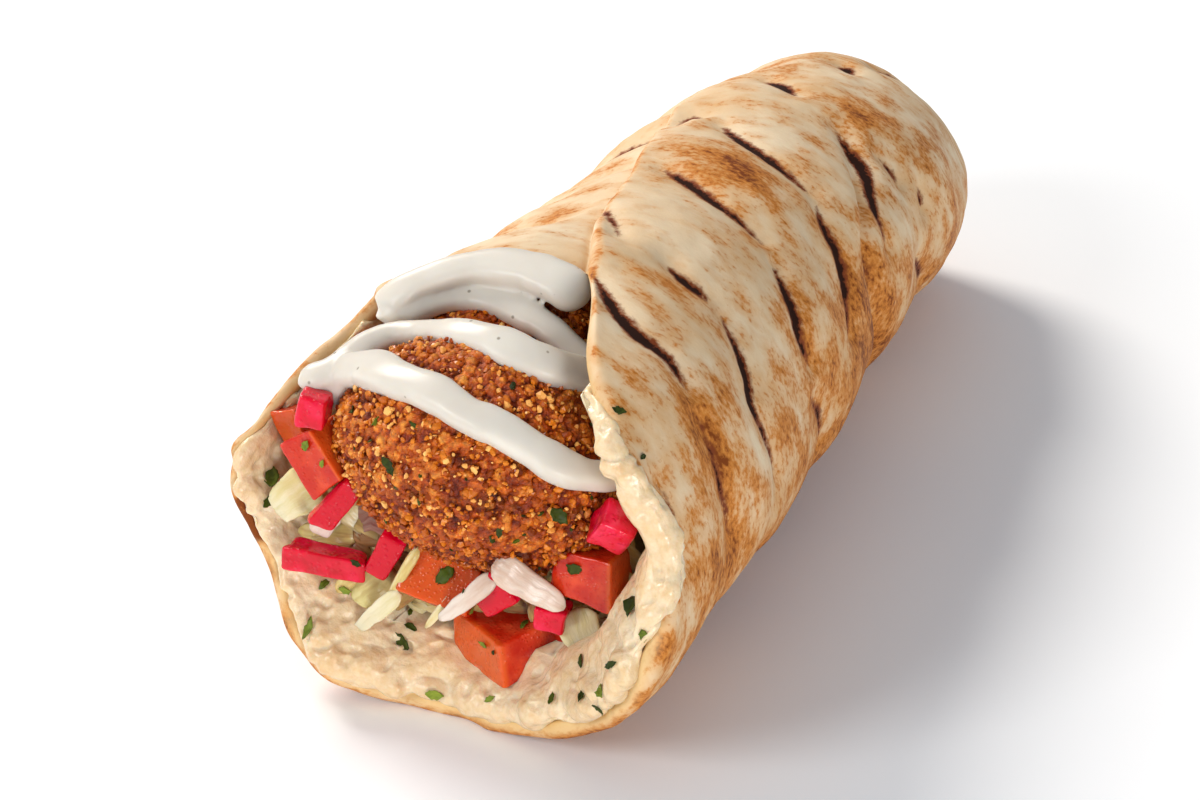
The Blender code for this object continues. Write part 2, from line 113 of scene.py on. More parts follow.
# Patches toasted a darker tan: angle, station, radius and strength.
TOASTED = (
    (172, 8, 9, 0.9), (160, 2, 7, 0.8), (150, 52, 10, 0.6), (120, -60, 7, 0.8), (84, -70, 16, 0.7),
    (105, -30, 14, 0.5), (100, 8, 14, 0.6), (150, -44, 8, 0.5), (80, 20, 18, 0.7), (95, 60, 16, 0.4),
    (140, 75, 12, 0.15), (60, -20, 20, 0.6), (230, -20, 14, 0.6), (262, 20, 16, 0.7), (250, 60, 14, 0.6),
    (300, -40, 16, 0.6), (200, 70, 12, 0.5), (275, -65, 9, 0.9), (318, 30, 18, 0.6), (350, -10, 22, 0.6),
)

# -- the filling ---------------------------------------------------------------------------------
HUMMUS_ANGLES = (-98, 128)
FALAFELS = {
    "falafel_front": ((-2.6, -68.0, 40.3), (23.0, 16.0, 17.4), (0, 8, 0)),
    "falafel_back": ((-5.5, -44.5, 40.5), (23.5, 16.0, 16.8), (0, 4, 5)),
}
FALAFEL_LUMP = 0.035

# Diced tomato and turnip sticks: centre, edge lengths and turn about X, Y and Z.
DICE = {
    "tomato_a": ((-27.0, -74.0, 38.2), (7.3, 6.5, 9.2), (-10, -38, 5)),
    "tomato_b": ((-6.8, -73.4, 20.2), (10.5, 7.5, 8.0), (-35, 12, 0)),
    "tomato_c": ((17.9, -74.0, 28.2), (9.2, 7.5, 7.2), (-8, 2, -5)),
    "tomato_d": ((3.2, -72.8, 13.2), (13.4, 10.8, 7.2), (10, 0, -30)),
    "tomato_e": ((13.5, -71.5, 15.2), (5.0, 5.0, 4.0), (0, 10, -20)),
    "tomato_f": ((-34.4, -66.5, 37.0), (4.6, 5.0, 7.4), (-10, -25, 0)),
    "turnip_a": ((-27.0, -74.6, 46.8), (4.6, 5.0, 5.0), (0, 8, 12)),
    "turnip_b": ((-22.8, -76.6, 32.2), (9.6, 3.5, 3.6), (0, -52, 20)),
    "turnip_c": ((-25.2, -77.0, 21.6), (12.6, 3.9, 4.1), (0, 5, 8)),
    "turnip_d": ((-15.8, -75.2, 24.4), (8.5, 3.8, 3.9), (0, -62, 15)),
    "turnip_e": ((22.3, -77.0, 38.4), (5.6, 5.2, 5.8), (20, 30, 20)),
    "turnip_f": ((3.4, -75.6, 22.6), (7.5, 5.6, 5.6), (-10, -36, 10)),
    "turnip_g": ((12.6, -77.0, 20.9), (4.5, 4.5, 4.2), (-5, 8, 5)),
}

# Onion and cabbage strips: both ends, width, thickness, bend and how pale they are.
STRIPS = {
    "onion_a": ((5.2, -81.4, 31.0), (15.0, -78.2, 23.6), 4.4, 2.8, 14, 0.4),
    "onion_b": ((3.8, -78.0, 26.2), (-5.2, -79.2, 17.0), 2.7, 1.1, 30, 0.45),
    "onion_c": ((-25.0, -74.8, 30.0), (-27.6, -74.8, 24.4), 4.2, 1.6, 15, 0.5),
    "onion_d": ((-13.4, -71.0, 29.5), (-24.0, -70.6, 25.8), 5.4, 2.4, 20, -0.1),
    "cabbage_a": ((-12.2, -78.4, 19.6), (-20.4, -78.6, 10.8), 2.7, 0.9, 8, 0.6),
    "cabbage_b": ((-15.0, -74.4, 20.8), (-20.4, -77.2, 15.4), 5.4, 0.9, 15, 0.1),
    "cabbage_c": ((15.2, -75.6, 21.4), (18.8, -78.2, 15.0), 5.8, 1.1, 15, 0.5),
    "cabbage_d": ((-28.6, -72.6, 32.6), (-35.4, -74.6, 26.4), 6.6, 1.0, 25, 0.4),
}
# Shreds given one by one where they stand out of the heap.
LAID_SHREDS = (
    ((-9.8, -76.0, 27.0), (-14.6, -78.4, 17.2), 1.6, 0.8, 25, 0.3),
    ((-10.2, -74.0, 26.5), (-12.2, -76.0, 18.4), 1.4, 0.7, 15, 0.0),
    ((-13.4, -71.6, 26.4), (-23.6, -71.4, 23.6), 4.6, 1.0, 15, -0.1),
    ((-20.6, -76.6, 20.4), (-23.4, -77.6, 16.6), 2.6, 0.7, 30, 0.2),
    ((-3.4, -76.6, 21.4), (-7.6, -79.6, 15.0), 1.4, 0.6, 30, 0.45),
    ((10.6, -74.8, 25.0), (15.6, -75.6, 18.6), 2.0, 0.7, 20, 0.1),
)

# The drizzle: middle line and half width of each thread, in the order that it was poured.
THREADS = (
    (((6.5, -49, 58.5), 3.3), ((3, -49, 60.8), 3.5), ((-2, -48.5, 61.9), 3.2), ((-8, -48.5, 61.9), 2.7),
     ((-13, -50, 61.4), 2.4), ((-17.4, -52.5, 60.2), 2.3), ((-21.2, -54.6, 58.2), 2.6),
     ((-23.2, -56, 55.8), 3.0), ((-20.8, -54.8, 55.6), 2.9), ((-16.6, -52.4, 56.6), 2.4),
     ((-12, -51, 57), 2.2),
     ((-5.5, -51.5, 57), 2.4), ((-1.5, -52.5, 56.5), 2.4), ((3, -53.5, 55), 2.4), ((6.5, -54.5, 53), 2.5),
     ((10, -56, 51.5), 2.8), ((12, -59.5, 52.5), 3.4), ((10, -63, 54.5), 3.4), ((5.5, -66.5, 57.5), 3.0),
     ((-0.5, -66.5, 59), 2.8), ((-7, -65, 58.5), 2.5), ((-13, -62.5, 56.5), 2.1), ((-16.5, -61, 55), 2.0),
     ((-20, -61, 54), 2.0), ((-23.5, -64, 52.5), 2.5), ((-24.5, -67.5, 51.5), 2.8),
     ((-26.5, -69.8, 50.3), 2.7), ((-29.5, -71.5, 49.4), 2.3), ((-31.2, -72.5, 48.6), 1.7)),
    (((-26, -71, 44.5), 1.7), ((-26, -70.5, 47), 2.1), ((-24.5, -70, 50.5), 3.0), ((-20, -71, 53), 3.2),
     ((-11.5, -76, 55.3), 2.9), ((-4.5, -78, 55.4), 3.0), ((1, -79.5, 54), 2.7), ((5.5, -79.5, 53), 2.9),
     ((10.5, -79, 50.4), 2.7), ((15.3, -77.7, 47.4), 3.0), ((18, -75.7, 45.8), 2.5),
     ((20.3, -72.8, 44.6), 2.3), ((21.5, -70, 43.8), 1.9)))
SAUCE_HEIGHT = 1.6
SAUCE_TILT = (0.05, -0.45, 0.9)

# Parsley flakes: x and z where each is seen through the mouth, and its length.
FLAKES = (
    (-26, 43, 3.2), (-27, 39, 2.4), (-30, 31, 2.4), (-27.5, 25.5, 1.6), (-18.5, 26.5, 2.4),
    (-15, 26.5, 2.4), (-21.5, 18, 3.4), (-4.5, 25, 1.5), (-4.5, 22.5, 2.2), (-6, 19.5, 4.2),
    (-1, 11.5, 2.8), (-13, 31.5, 1.8), (-20, 50, 2.0), (-17.5, 47.5, 1.4), (1.5, 33, 3.6),
    (4.5, 31, 0.8), (5.5, 28, 1.6), (7.5, 22.5, 2.0), (14, 27.5, 2.2), (9, 21.5, 1.0), (22, 39, 3.0),
    (31, 35, 3.6), (32.5, 30.5, 2.0), (23, 23.5, 2.2), (27.5, 24, 2.6), (8, 13, 1.6), (18, 15.5, 2.0),
    (23, 17.5, 2.6), (26, 19, 2.8), (25.5, 16, 2.2), (21, 33.5, 0.8), (29, 66, 2.0), (32.5, 59.5, 1.4),
    (10.5, 42.5, 2.0), (19.5, 47.5, 3.4), (13, 41.5, 1.8), (-8.5, 56.5, 2.0), (-12, 57.5, 1.6),
    (-2.5, 57, 1.8), (-6.5, 49.5, 3.0))


# -- numbers -------------------------------------------------------------------------------------

def ease(x):
    """0 to 1 with level ends: 3x^2 - 2x^3."""
    x = np.clip(x, 0, 1)
    return x * x * (3 - 2 * x)


def through(stations, values, at):
    """Smooth curve through values at rising stations: cubic Hermite, slopes by differences."""
    s = np.asarray(stations, float)
    v = np.asarray(values, float)
    slope = np.gradient(v, s)
    at = np.clip(at, s[0], s[-1])
    i = np.clip(np.searchsorted(s, at) - 1, 0, len(s) - 2)
    span = s[i + 1] - s[i]
    t = (at - s[i]) / span
    start = (1 + 2 * t) * (1 - t) ** 2 * v[i] + t * (1 - t) ** 2 * span * slope[i]
    end = t * t * (3 - 2 * t) * v[i + 1] + t * t * (t - 1) * span * slope[i + 1]
    return start + end


def lattice(cell, seed):
    """A fixed random number from 0 to 1 for each whole-numbered cell: an integer hash."""
    n = cell[..., 0] * 73856093 ^ cell[..., 1] * 19349663 ^ cell[..., 2] * 83492791 ^ (seed * 40503 + 17)
    n = (n ^ (n >> 13)) * 1274126177 & 0x7FFFFFFF
    n = (n ^ (n >> 15)) * 73244475 & 0x7FFFFFFF
    return (n >> 7 & 0xFFFF) / 0xFFFF


def drift(points, size, seed=0):
    """Smooth noise from -1 to 1: random numbers on a lattice of that size, eased in between."""
    at = points / size
    cell = np.floor(at).astype(np.int64)
    part = ease(at - cell)
    total = 0
    for corner in np.ndindex(2, 2, 2):
        weight = np.prod(np.where(corner, part, 1 - part), axis=-1)
        total = total + weight * lattice(cell + corner, seed)
    return 2 * total - 1


def rough(points, size, octaves, seed=0):
    """Noise summed at halving sizes and halving strengths."""
    return sum(drift(points, size / 2 ** k, seed + k) / 2 ** k for k in range(octaves))


def grains(points, size, seed=0):
    """Packed grains: one random seat in each cell of a lattice. Gives the distance to the nearest
    seat and to the next one, in cell sizes, and the nearest grain's own random number."""
    at = points / size
    cell = np.floor(at).astype(np.int64)
    nearest = np.full(at.shape[:-1], 9.0)
    second = nearest.copy()
    own = np.zeros_like(nearest)
    for step in np.ndindex(3, 3, 3):
        near = cell + np.array(step) - 1
        seat = near + np.stack([lattice(near, seed + k) for k in range(3)], -1)
        away = np.linalg.norm(seat - at, axis=-1)
        closer = away < nearest
        second = np.where(closer, nearest, np.minimum(second, away))
        own = np.where(closer, lattice(near, seed + 3), own)
        nearest = np.minimum(nearest, away)
    return nearest, second, own


def turned(points, degrees):
    """Points turned about X, then Y, then Z."""
    matrix = Euler([radians(d) for d in degrees]).to_matrix()
    return points @ np.array(matrix).T


def random_turns(count, random):
    """That many random rotation matrices, from random unit quaternions."""
    q = random.normal(size=(count, 4))
    w, x, y, z = (q / np.linalg.norm(q, axis=1)[:, None]).T
    rows = ((1 - 2 * (y * y + z * z), 2 * (x * y - z * w), 2 * (x * z + y * w)),
            (2 * (x * y + z * w), 1 - 2 * (x * x + z * z), 2 * (y * z - x * w)),
            (2 * (x * z - y * w), 2 * (y * z + x * w), 1 - 2 * (x * x + y * y)))
    return np.moveaxis(np.array(rows), 2, 0)


# -- meshes --------------------------------------------------------------------------------------

def grid_faces(rows, columns, closed=False, first=0):
    """Quads of a grid of points in rows; closed joins the last column to the first."""
    r = np.arange(rows - 1)[:, None]
    c = np.arange(columns if closed else columns - 1)[None, :]
    d = (c + 1) % columns
    corners = (r * columns + c, r * columns + d, (r + 1) * columns + d, (r + 1) * columns + c)
    return np.stack(np.broadcast_arrays(*corners), -1).reshape(-1, 4) + first


def loft(rings):
    """Points and faces of closed rings (row, point, xyz), each end closed by a fan to its middle."""
    rows, columns = rings.shape[:2]
    points = np.vstack([rings.reshape(-1, 3), rings[0].mean(0), rings[-1].mean(0)])
    c = np.arange(columns)
    d = (c + 1) % columns
    start = np.stack([np.full(columns, rows * columns), d, c], -1)
    end = np.stack([np.full(columns, rows * columns + 1), c, d], -1) + [0, 1, 1] * np.array(
        (rows - 1) * columns)
    return points, [grid_faces(rows, columns, True), start, end]


def add_piece(name, points, faces, look, slot, nodes=(), smooth=True, inside_out=False, **facts):
    """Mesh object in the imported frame, with facts as point attributes, riding on the wrap."""
    mesh = bpy.data.meshes.new(name)
    placed = (points + SHIFT) * MM
    if inside_out:
        faces = [f[:, ::-1] for f in faces]
    mesh.from_pydata(placed.tolist(), [], [f for block in faces for f in block.tolist()])
    for fact, values in facts.items():
        values = np.asarray(values, float)
        kind = "FLOAT" if values.ndim == 1 else "FLOAT_VECTOR"
        layer = mesh.attributes.new(fact, kind, "POINT")
        layer.data.foreach_set("value" if values.ndim == 1 else "vector", values.ravel())
    if smooth:
        mesh.shade_smooth()
    mesh.materials.append(look)
    piece = bpy.data.objects.new(name, mesh)
    bpy.context.scene.collection.objects.link(piece)
    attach(piece, "root")
    if nodes:
        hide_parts(*nodes)
    return piece


def with_ends(values):
    """A per-point fact of lofted rings, with the two closing points' values added."""
    return np.concatenate([values.ravel(), [values[0].mean(), values[-1].mean()]])


# -- looks ---------------------------------------------------------------------------------------

def shade(code, alpha=1.0):
    """Linear RGBA of an sRGB hex colour."""
    parts = [int(code[i:i + 2], 16) / 255 for i in (1, 3, 5)]
    return (*(p / 12.92 if p <= 0.04045 else ((p + 0.055) / 1.055) ** 2.4 for p in parts), alpha)


def add_node(tree, kind, inputs=(), stops=(), **settings):
    """A node with its settings; inputs maps a socket to a value or to the socket it comes from,
    and stops are a ramp's (place, colour) pairs."""
    made = tree.nodes.new(kind)
    for key, value in settings.items():
        setattr(made, key, value)
    for key, value in dict(inputs).items():
        if isinstance(value, bpy.types.NodeSocket):
            tree.links.new(value, made.inputs[key])
        else:
            made.inputs[key].default_value = value
    for number, (place, colour) in enumerate(stops):
        ramp = made.color_ramp.elements
        stop = ramp[number] if number < 2 else ramp.new(place)
        stop.position = place
        stop.color = shade(colour) if isinstance(colour, str) else (colour, colour, colour, 1)
    return made


def new_look(name, **sockets):
    """Material with a Principled shader; sockets are set by their names, _ for a space."""
    made = bpy.data.materials.new(name)
    made.use_nodes = True
    shader = made.node_tree.nodes["Principled BSDF"]
    for key, value in sockets.items():
        shader.inputs[key.replace("_", " ").title().replace("Ior", "IOR")].default_value = value
    return made, made.node_tree, shader


def bread_look():
    """Griddled yeast flatbread: matt floury crumb, tan toasted mottling deepened by painted shade low on its
    sides, charcoal strokes.
    """
    made, tree, shader = new_look("griddled_flatbread", roughness=0.62, ior=1.42)
    shader.inputs["Specular IOR Level"].default_value = 0.22
    shader.inputs["Subsurface Weight"].default_value = 0.08
    shader.inputs["Subsurface Radius"].default_value = (0.004, 0.002, 0.001)
    shader.inputs["Subsurface Scale"].default_value = 0.4
    sheet = add_node(tree, "ShaderNodeAttribute", attribute_name="sheet").outputs["Vector"]
    burn = add_node(tree, "ShaderNodeAttribute", attribute_name="burn").outputs["Fac"]
    # Painted shade rides in this attribute with the toasting: darker low on the sides.
    toast = add_node(tree, "ShaderNodeAttribute", attribute_name="toast").outputs["Fac"]
    inner = add_node(tree, "ShaderNodeAttribute", attribute_name="inner").outputs["Fac"]
    place = add_node(tree, "ShaderNodeTexCoord").outputs["Object"]

    # Patches 6 mm across under flecks of 0.9 mm; both run out along the sheet's stretch.
    patches = add_node(tree, "ShaderNodeMapping", {"Vector": sheet, "Scale": (1 / 8, 1 / 5, 1 / 5)})
    flecks = add_node(tree, "ShaderNodeMapping", {"Vector": sheet, "Scale": (1 / 1.3, 1 / 0.8, 1 / 0.8)})
    mottle = add_node(tree, "ShaderNodeTexNoise", {"Vector": patches.outputs[0], "Scale": 1.0,
                                                   "Detail": 3.0, "Roughness": 0.55})
    fleck = add_node(tree, "ShaderNodeTexNoise", {"Vector": flecks.outputs[0], "Scale": 1.0,
                                                  "Detail": 4.0, "Roughness": 0.62})
    cloud = add_node(tree, "ShaderNodeTexNoise", {"Vector": place, "Scale": 70.0, "Detail": 3.0,
                                                  "Roughness": 0.55})
    pale = add_node(tree, "ShaderNodeValToRGB", {"Fac": cloud.outputs["Fac"]},
                    stops=((0.3, "#D8B68A"), (0.7, "#E6D0AE")))
    # A soft blush follows the patches and how toasted the bread is, with painted shade low on its sides;
    # flecks show where the fine noise stands above both.
    coarse = add_node(tree, "ShaderNodeMath", {0: mottle.outputs["Fac"], 1: 1.5, 2: toast},
                      operation="MULTIPLY_ADD")
    blush = add_node(tree, "ShaderNodeMapRange", {"Value": coarse.outputs[0], "From Min": 0.7,
                                                  "From Max": 1.3})
    warm = add_node(tree, "ShaderNodeMix", {0: blush.outputs[0], 6: pale.outputs[0], 7: shade("#CE8E44")},
                    data_type="RGBA")
    heat = add_node(tree, "ShaderNodeMath", {0: fleck.outputs["Fac"], 1: 1.6, 2: coarse.outputs[0]},
                    operation="MULTIPLY_ADD")
    tan = add_node(tree, "ShaderNodeMapRange", {"Value": heat.outputs[0], "From Min": 1.76, "From Max": 2.04})
    brown = add_node(tree, "ShaderNodeMapRange", {"Value": heat.outputs[0], "From Min": 2.05,
                                                  "From Max": 2.38})
    baked = add_node(tree, "ShaderNodeMix", {0: tan.outputs[0], 6: warm.outputs[2], 7: shade("#C27830")},
                     data_type="RGBA")
    baked = add_node(tree, "ShaderNodeMix", {0: brown.outputs[0], 6: baked.outputs[2], 7: shade("#7A3A0A")},
                     data_type="RGBA")
    # The inner face never met the griddle: cream to yellow.
    crumb = add_node(tree, "ShaderNodeValToRGB", {"Fac": mottle.outputs["Fac"]},
                     stops=((0.3, "#D9AE68"), (0.7, "#E8CC98")))
    surface = add_node(tree, "ShaderNodeMix", {0: inner, 6: baked.outputs[2], 7: crumb.outputs[0]},
                       data_type="RGBA")
    # Burn is the distance in mm outside a stroke's edge; fine noise makes the edge ragged.
    ragged = add_node(tree, "ShaderNodeTexNoise", {"Vector": place, "Scale": 650.0, "Detail": 4.0,
                                                   "Roughness": 0.7})
    edge = add_node(tree, "ShaderNodeMath", {0: ragged.outputs["Fac"], 1: -2.4, 2: burn},
                    operation="MULTIPLY_ADD")
    halo = add_node(tree, "ShaderNodeMapRange", {"Value": edge.outputs[0], "From Min": -0.75,
                                                 "From Max": -1.5})
    coal = add_node(tree, "ShaderNodeMapRange", {"Value": edge.outputs[0], "From Min": -1.62,
                                                 "From Max": -1.95})
    singed = add_node(tree, "ShaderNodeMix", {0: halo.outputs[0], 6: surface.outputs[2],
                                              7: shade("#7A3816")}, data_type="RGBA")
    charred = add_node(tree, "ShaderNodeMix", {0: coal.outputs[0], 6: singed.outputs[2],
                                               7: shade("#2A1005")}, data_type="RGBA")
    tree.links.new(charred.outputs[2], shader.inputs["Base Color"])
    dull = add_node(tree, "ShaderNodeMapRange", {"Value": coal.outputs[0], "To Min": 0.6, "To Max": 0.95})
    tree.links.new(dull.outputs[0], shader.inputs["Roughness"])

    pores = add_node(tree, "ShaderNodeTexNoise", {"Vector": place, "Scale": 450.0, "Detail": 5.0,
                                                  "Roughness": 0.6})
    low = add_node(tree, "ShaderNodeBump", {"Height": mottle.outputs["Fac"], "Strength": 0.25,
                                            "Distance": 0.0006})
    fine = add_node(tree, "ShaderNodeBump", {"Height": pores.outputs["Fac"], "Strength": 0.35,
                                             "Distance": 0.0004, "Normal": low.outputs[0]})
    tree.links.new(fine.outputs[0], shader.inputs["Normal"])
    return made


def paste_look():
    """Coarse hummus: moist and half clear, with painted light and shade: cream on its crests and tan in its
    hollows.
    """
    made, tree, shader = new_look("coarse_hummus", roughness=0.27, ior=1.42)
    shader.inputs["Coat Weight"].default_value = 0.2
    shader.inputs["Coat Roughness"].default_value = 0.12
    shader.inputs["Subsurface Weight"].default_value = 0.3
    shader.inputs["Subsurface Radius"].default_value = (0.004, 0.002, 0.001)
    shader.inputs["Subsurface Scale"].default_value = 0.4
    height = add_node(tree, "ShaderNodeAttribute", attribute_name="height").outputs["Fac"]
    place = add_node(tree, "ShaderNodeTexCoord").outputs["Object"]
    cloud = add_node(tree, "ShaderNodeTexNoise", {"Vector": place, "Scale": 600.0, "Detail": 4.0,
                                                  "Roughness": 0.6})
    # Painted light and shade: the ramp follows the lumps' height, tan in the hollows and cream on the crests.
    both = add_node(tree, "ShaderNodeMath", {0: cloud.outputs["Fac"], 1: 0.7, 2: height},
                    operation="MULTIPLY_ADD")
    cream = add_node(tree, "ShaderNodeValToRGB", {"Fac": both.outputs[0]},
                     stops=((0.4, "#CEA268"), (0.66, "#DEBD8E"), (1.0, "#EBD7B4")))
    tree.links.new(cream.outputs[0], shader.inputs["Base Color"])
    grit = add_node(tree, "ShaderNodeTexNoise", {"Vector": place, "Scale": 900.0, "Detail": 4.0,
                                                 "Roughness": 0.55})
    relief = add_node(tree, "ShaderNodeBump", {"Height": grit.outputs["Fac"], "Strength": 0.45,
                                               "Distance": 0.0006})
    tree.links.new(relief.outputs[0], shader.inputs["Normal"])
    return made


def crust_look():
    """Chickpea crust from the deep fryer: oily brown crumb, with painted light and shade: pale where a grain
    stands up, dark in the pits and on the underside.
    """
    made, tree, shader = new_look("fried_chickpea_crust", roughness=0.34, ior=1.46)
    shader.inputs["Specular IOR Level"].default_value = 0.35
    height = add_node(tree, "ShaderNodeAttribute", attribute_name="height").outputs["Fac"]
    own = add_node(tree, "ShaderNodeAttribute", attribute_name="grain").outputs["Fac"]
    place = add_node(tree, "ShaderNodeTexCoord").outputs["Object"]
    # Painted light and shade: the height ramp is dark in the pits and on the shaded underside, pale where a
    # grain stands up.
    depth = add_node(tree, "ShaderNodeValToRGB", {"Fac": height},
                     stops=((0.0, "#2A0600"), (0.35, "#7E2402"), (0.62, "#C05408"), (1.0, "#F4A03A")))
    tone = add_node(tree, "ShaderNodeValToRGB", {"Fac": own},
                    stops=((0.0, "#561200"), (0.3, "#9A3602"), (0.7, "#D06812"), (1.0, "#F6A844")))
    mixed = add_node(tree, "ShaderNodeMix", {0: 0.45, 6: depth.outputs[0], 7: tone.outputs[0]},
                     data_type="RGBA")
    grit = add_node(tree, "ShaderNodeTexNoise", {"Vector": place, "Scale": 1500.0, "Detail": 4.0,
                                                 "Roughness": 0.7})
    freckle = add_node(tree, "ShaderNodeMapRange", {"Value": grit.outputs["Fac"], "From Min": 0.35,
                                                    "From Max": 0.65, "To Min": 0.55, "To Max": 1.25})
    lit = add_node(tree, "ShaderNodeMix", {0: 1.0, 6: mixed.outputs[2], 7: freckle.outputs[0]},
                   data_type="RGBA", blend_type="MULTIPLY")
    tree.links.new(lit.outputs[2], shader.inputs["Base Color"])
    relief = add_node(tree, "ShaderNodeBump", {"Height": grit.outputs["Fac"], "Strength": 0.7,
                                               "Distance": 0.0004})
    tree.links.new(relief.outputs[0], shader.inputs["Normal"])
    return made


def crumb_look():
    """Loose crumbs of the crust: each has its own tone, those low on the ball darkened as painted shade."""
    made, tree, shader = new_look("loose_crust_crumb", roughness=0.34, ior=1.46)
    shader.inputs["Specular IOR Level"].default_value = 0.4
    own = add_node(tree, "ShaderNodeAttribute", attribute_name="tint").outputs["Fac"]
    tone = add_node(tree, "ShaderNodeValToRGB", {"Fac": own},
                    stops=((0.0, "#501400"), (0.35, "#A44608"), (0.75, "#D87A18"), (1.0, "#FAC06A")))
    tree.links.new(tone.outputs[0], shader.inputs["Base Color"])
    return made


def sauce_look():
    """Thick yoghurt sauce: smooth, off-white, softly glossy."""
    made, tree, shader = new_look("yoghurt_sauce", roughness=0.3, ior=1.36)
    shader.inputs["Subsurface Weight"].default_value = 0.5
    shader.inputs["Subsurface Radius"].default_value = (0.004, 0.003, 0.002)
    shader.inputs["Subsurface Scale"].default_value = 0.5
    place = add_node(tree, "ShaderNodeTexCoord").outputs["Object"]
    cloud = add_node(tree, "ShaderNodeTexNoise", {"Vector": place, "Scale": 90.0, "Detail": 3.0})
    white = add_node(tree, "ShaderNodeValToRGB", {"Fac": cloud.outputs["Fac"]},
                     stops=((0.35, "#D2CBBF"), (0.65, "#DAD4C8")))
    dots = add_node(tree, "ShaderNodeTexVoronoi", {"Vector": place, "Scale": 260.0})
    speck = add_node(tree, "ShaderNodeMapRange", {"Value": dots.outputs["Distance"], "From Min": 0.05,
                                                  "From Max": 0.09})
    dotted = add_node(tree, "ShaderNodeMix", {0: speck.outputs[0], 6: shade("#9C9484"),
                                              7: white.outputs[0]}, data_type="RGBA")
    tree.links.new(dotted.outputs[2], shader.inputs["Base Color"])
    return made


def wet_look(name, inside, near_skin, cells, relief_strength):
    """Wet cut flesh: deep coloured and half clear, one side nearer the skin, its cells beading."""
    made, tree, shader = new_look(name, roughness=0.16, ior=1.38)
    shader.inputs["Subsurface Weight"].default_value = 0.45
    shader.inputs["Subsurface Radius"].default_value = (0.006, 0.0012, 0.0008)
    shader.inputs["Subsurface Scale"].default_value = 0.5
    shader.inputs["Coat Weight"].default_value = 0.3
    shader.inputs["Specular IOR Level"].default_value = 0.36
    shader.inputs["Coat Roughness"].default_value = 0.06
    skin = add_node(tree, "ShaderNodeAttribute", attribute_name="skin").outputs["Fac"]
    place = add_node(tree, "ShaderNodeTexCoord").outputs["Object"]
    cloud = add_node(tree, "ShaderNodeTexNoise", {"Vector": place, "Scale": 260.0, "Detail": 3.0,
                                                  "Roughness": 0.5})
    flesh = add_node(tree, "ShaderNodeValToRGB", {"Fac": cloud.outputs["Fac"]}, stops=inside)
    whole = add_node(tree, "ShaderNodeMix", {0: skin, 6: flesh.outputs[0], 7: shade(near_skin)},
                     data_type="RGBA")
    tree.links.new(whole.outputs[2], shader.inputs["Base Color"])
    # Juice beads stand on the cut cells where the slow noise is high.
    beads = add_node(tree, "ShaderNodeTexVoronoi", {"Vector": place, "Scale": cells})
    bead = add_node(tree, "ShaderNodeMapRange", {"Value": beads.outputs["Distance"], "From Min": 0.45,
                                                 "From Max": 0.1})
    rise = add_node(tree, "ShaderNodeMath", {0: bead.outputs[0], 1: cloud.outputs["Fac"]},
                    operation="MULTIPLY")
    relief = add_node(tree, "ShaderNodeBump", {"Height": rise.outputs[0], "Strength": relief_strength,
                                               "Distance": 0.0003})
    tree.links.new(relief.outputs[0], shader.inputs["Normal"])
    return made


def tomato_look():
    """Ripe tomato: orange-red flesh with paler cells, orange towards the skin."""
    return wet_look("ripe_tomato", ((0.3, "#B61606"), (0.5, "#C62C10"), (0.72, "#DA4C26")), "#D2541A", 1500,
                    0.55)


def turnip_look():
    """Turnip pickled with beetroot: vivid pink-red, its fibres paler."""
    return wet_look("pickled_turnip", ((0.32, "#BC001A"), (0.5, "#D4002A"), (0.72, "#E62450")), "#C80020",
                    1100, 0.8)


def leaf_look(name, dark, middle, light):
    """Raw onion or cabbage: wet, half clear, with veins along it 0.7 mm apart."""
    made, tree, shader = new_look(name, roughness=0.22, ior=1.36)
    shader.inputs["Subsurface Weight"].default_value = 0.4
    shader.inputs["Subsurface Radius"].default_value = (0.004, 0.003, 0.002)
    shader.inputs["Subsurface Scale"].default_value = 0.5
    tint = add_node(tree, "ShaderNodeAttribute", attribute_name="tint").outputs["Fac"]
    veins = add_node(tree, "ShaderNodeAttribute", attribute_name="veins").outputs["Vector"]
    streak = add_node(tree, "ShaderNodeTexNoise", {"Vector": veins, "Scale": 1.4, "Detail": 3.0})
    value = add_node(tree, "ShaderNodeMath", {0: streak.outputs["Fac"], 1: 0.7, 2: tint},
                     operation="MULTIPLY_ADD")
    tone = add_node(tree, "ShaderNodeValToRGB", {"Fac": value.outputs[0]},
                    stops=((0.2, dark), (0.62, middle), (1.0, light)))
    tree.links.new(tone.outputs[0], shader.inputs["Base Color"])
    relief = add_node(tree, "ShaderNodeBump", {"Height": streak.outputs["Fac"], "Strength": 0.5,
                                               "Distance": 0.0004})
    tree.links.new(relief.outputs[0], shader.inputs["Normal"])
    return made


def herb_look():
    """Chopped flat parsley: dark green, a little glossy, its torn edges darker."""
    made, tree, shader = new_look("chopped_parsley", roughness=0.45, ior=1.4)
    shader.inputs["Specular IOR Level"].default_value = 0.25
    tint = add_node(tree, "ShaderNodeAttribute", attribute_name="tint").outputs["Fac"]
    tone = add_node(tree, "ShaderNodeValToRGB", {"Fac": tint},
                    stops=((0.0, "#20260A"), (0.5, "#465414"), (1.0, "#8C9A34")))
    tree.links.new(tone.outputs[0], shader.inputs["Base Color"])
    return made


def table_look():
    """Matt white board."""
    made, tree, shader = new_look("white_board", roughness=0.8)
    shader.inputs["Base Color"].default_value = shade("#FCFEFF")
    return made


# -- the flatbread -------------------------------------------------------------------------------

def flap_angle(y):
    return through(FLAP_STATIONS, FLAP_ANGLES, y)


def rim_station(ring):
    """Where the rim of the mouth lies, for a ring angle from the flap's corner."""
    angles, stations = zip(*RIM)
    return through(angles, stations, ring)


def crease(angle, y):
    """Depth of the slanting crease: a bell across it, running out at both ends."""
    half_width, depth = CREASE
    turn = np.asarray(angle) % 360
    centre = through(CREASE_ANGLES, CREASE_STATIONS, turn)
    side = ease((turn - 45) / 25) * ease((160 - turn) / 40)
    return depth * side * np.exp(-((y - centre) / half_width) ** 2)


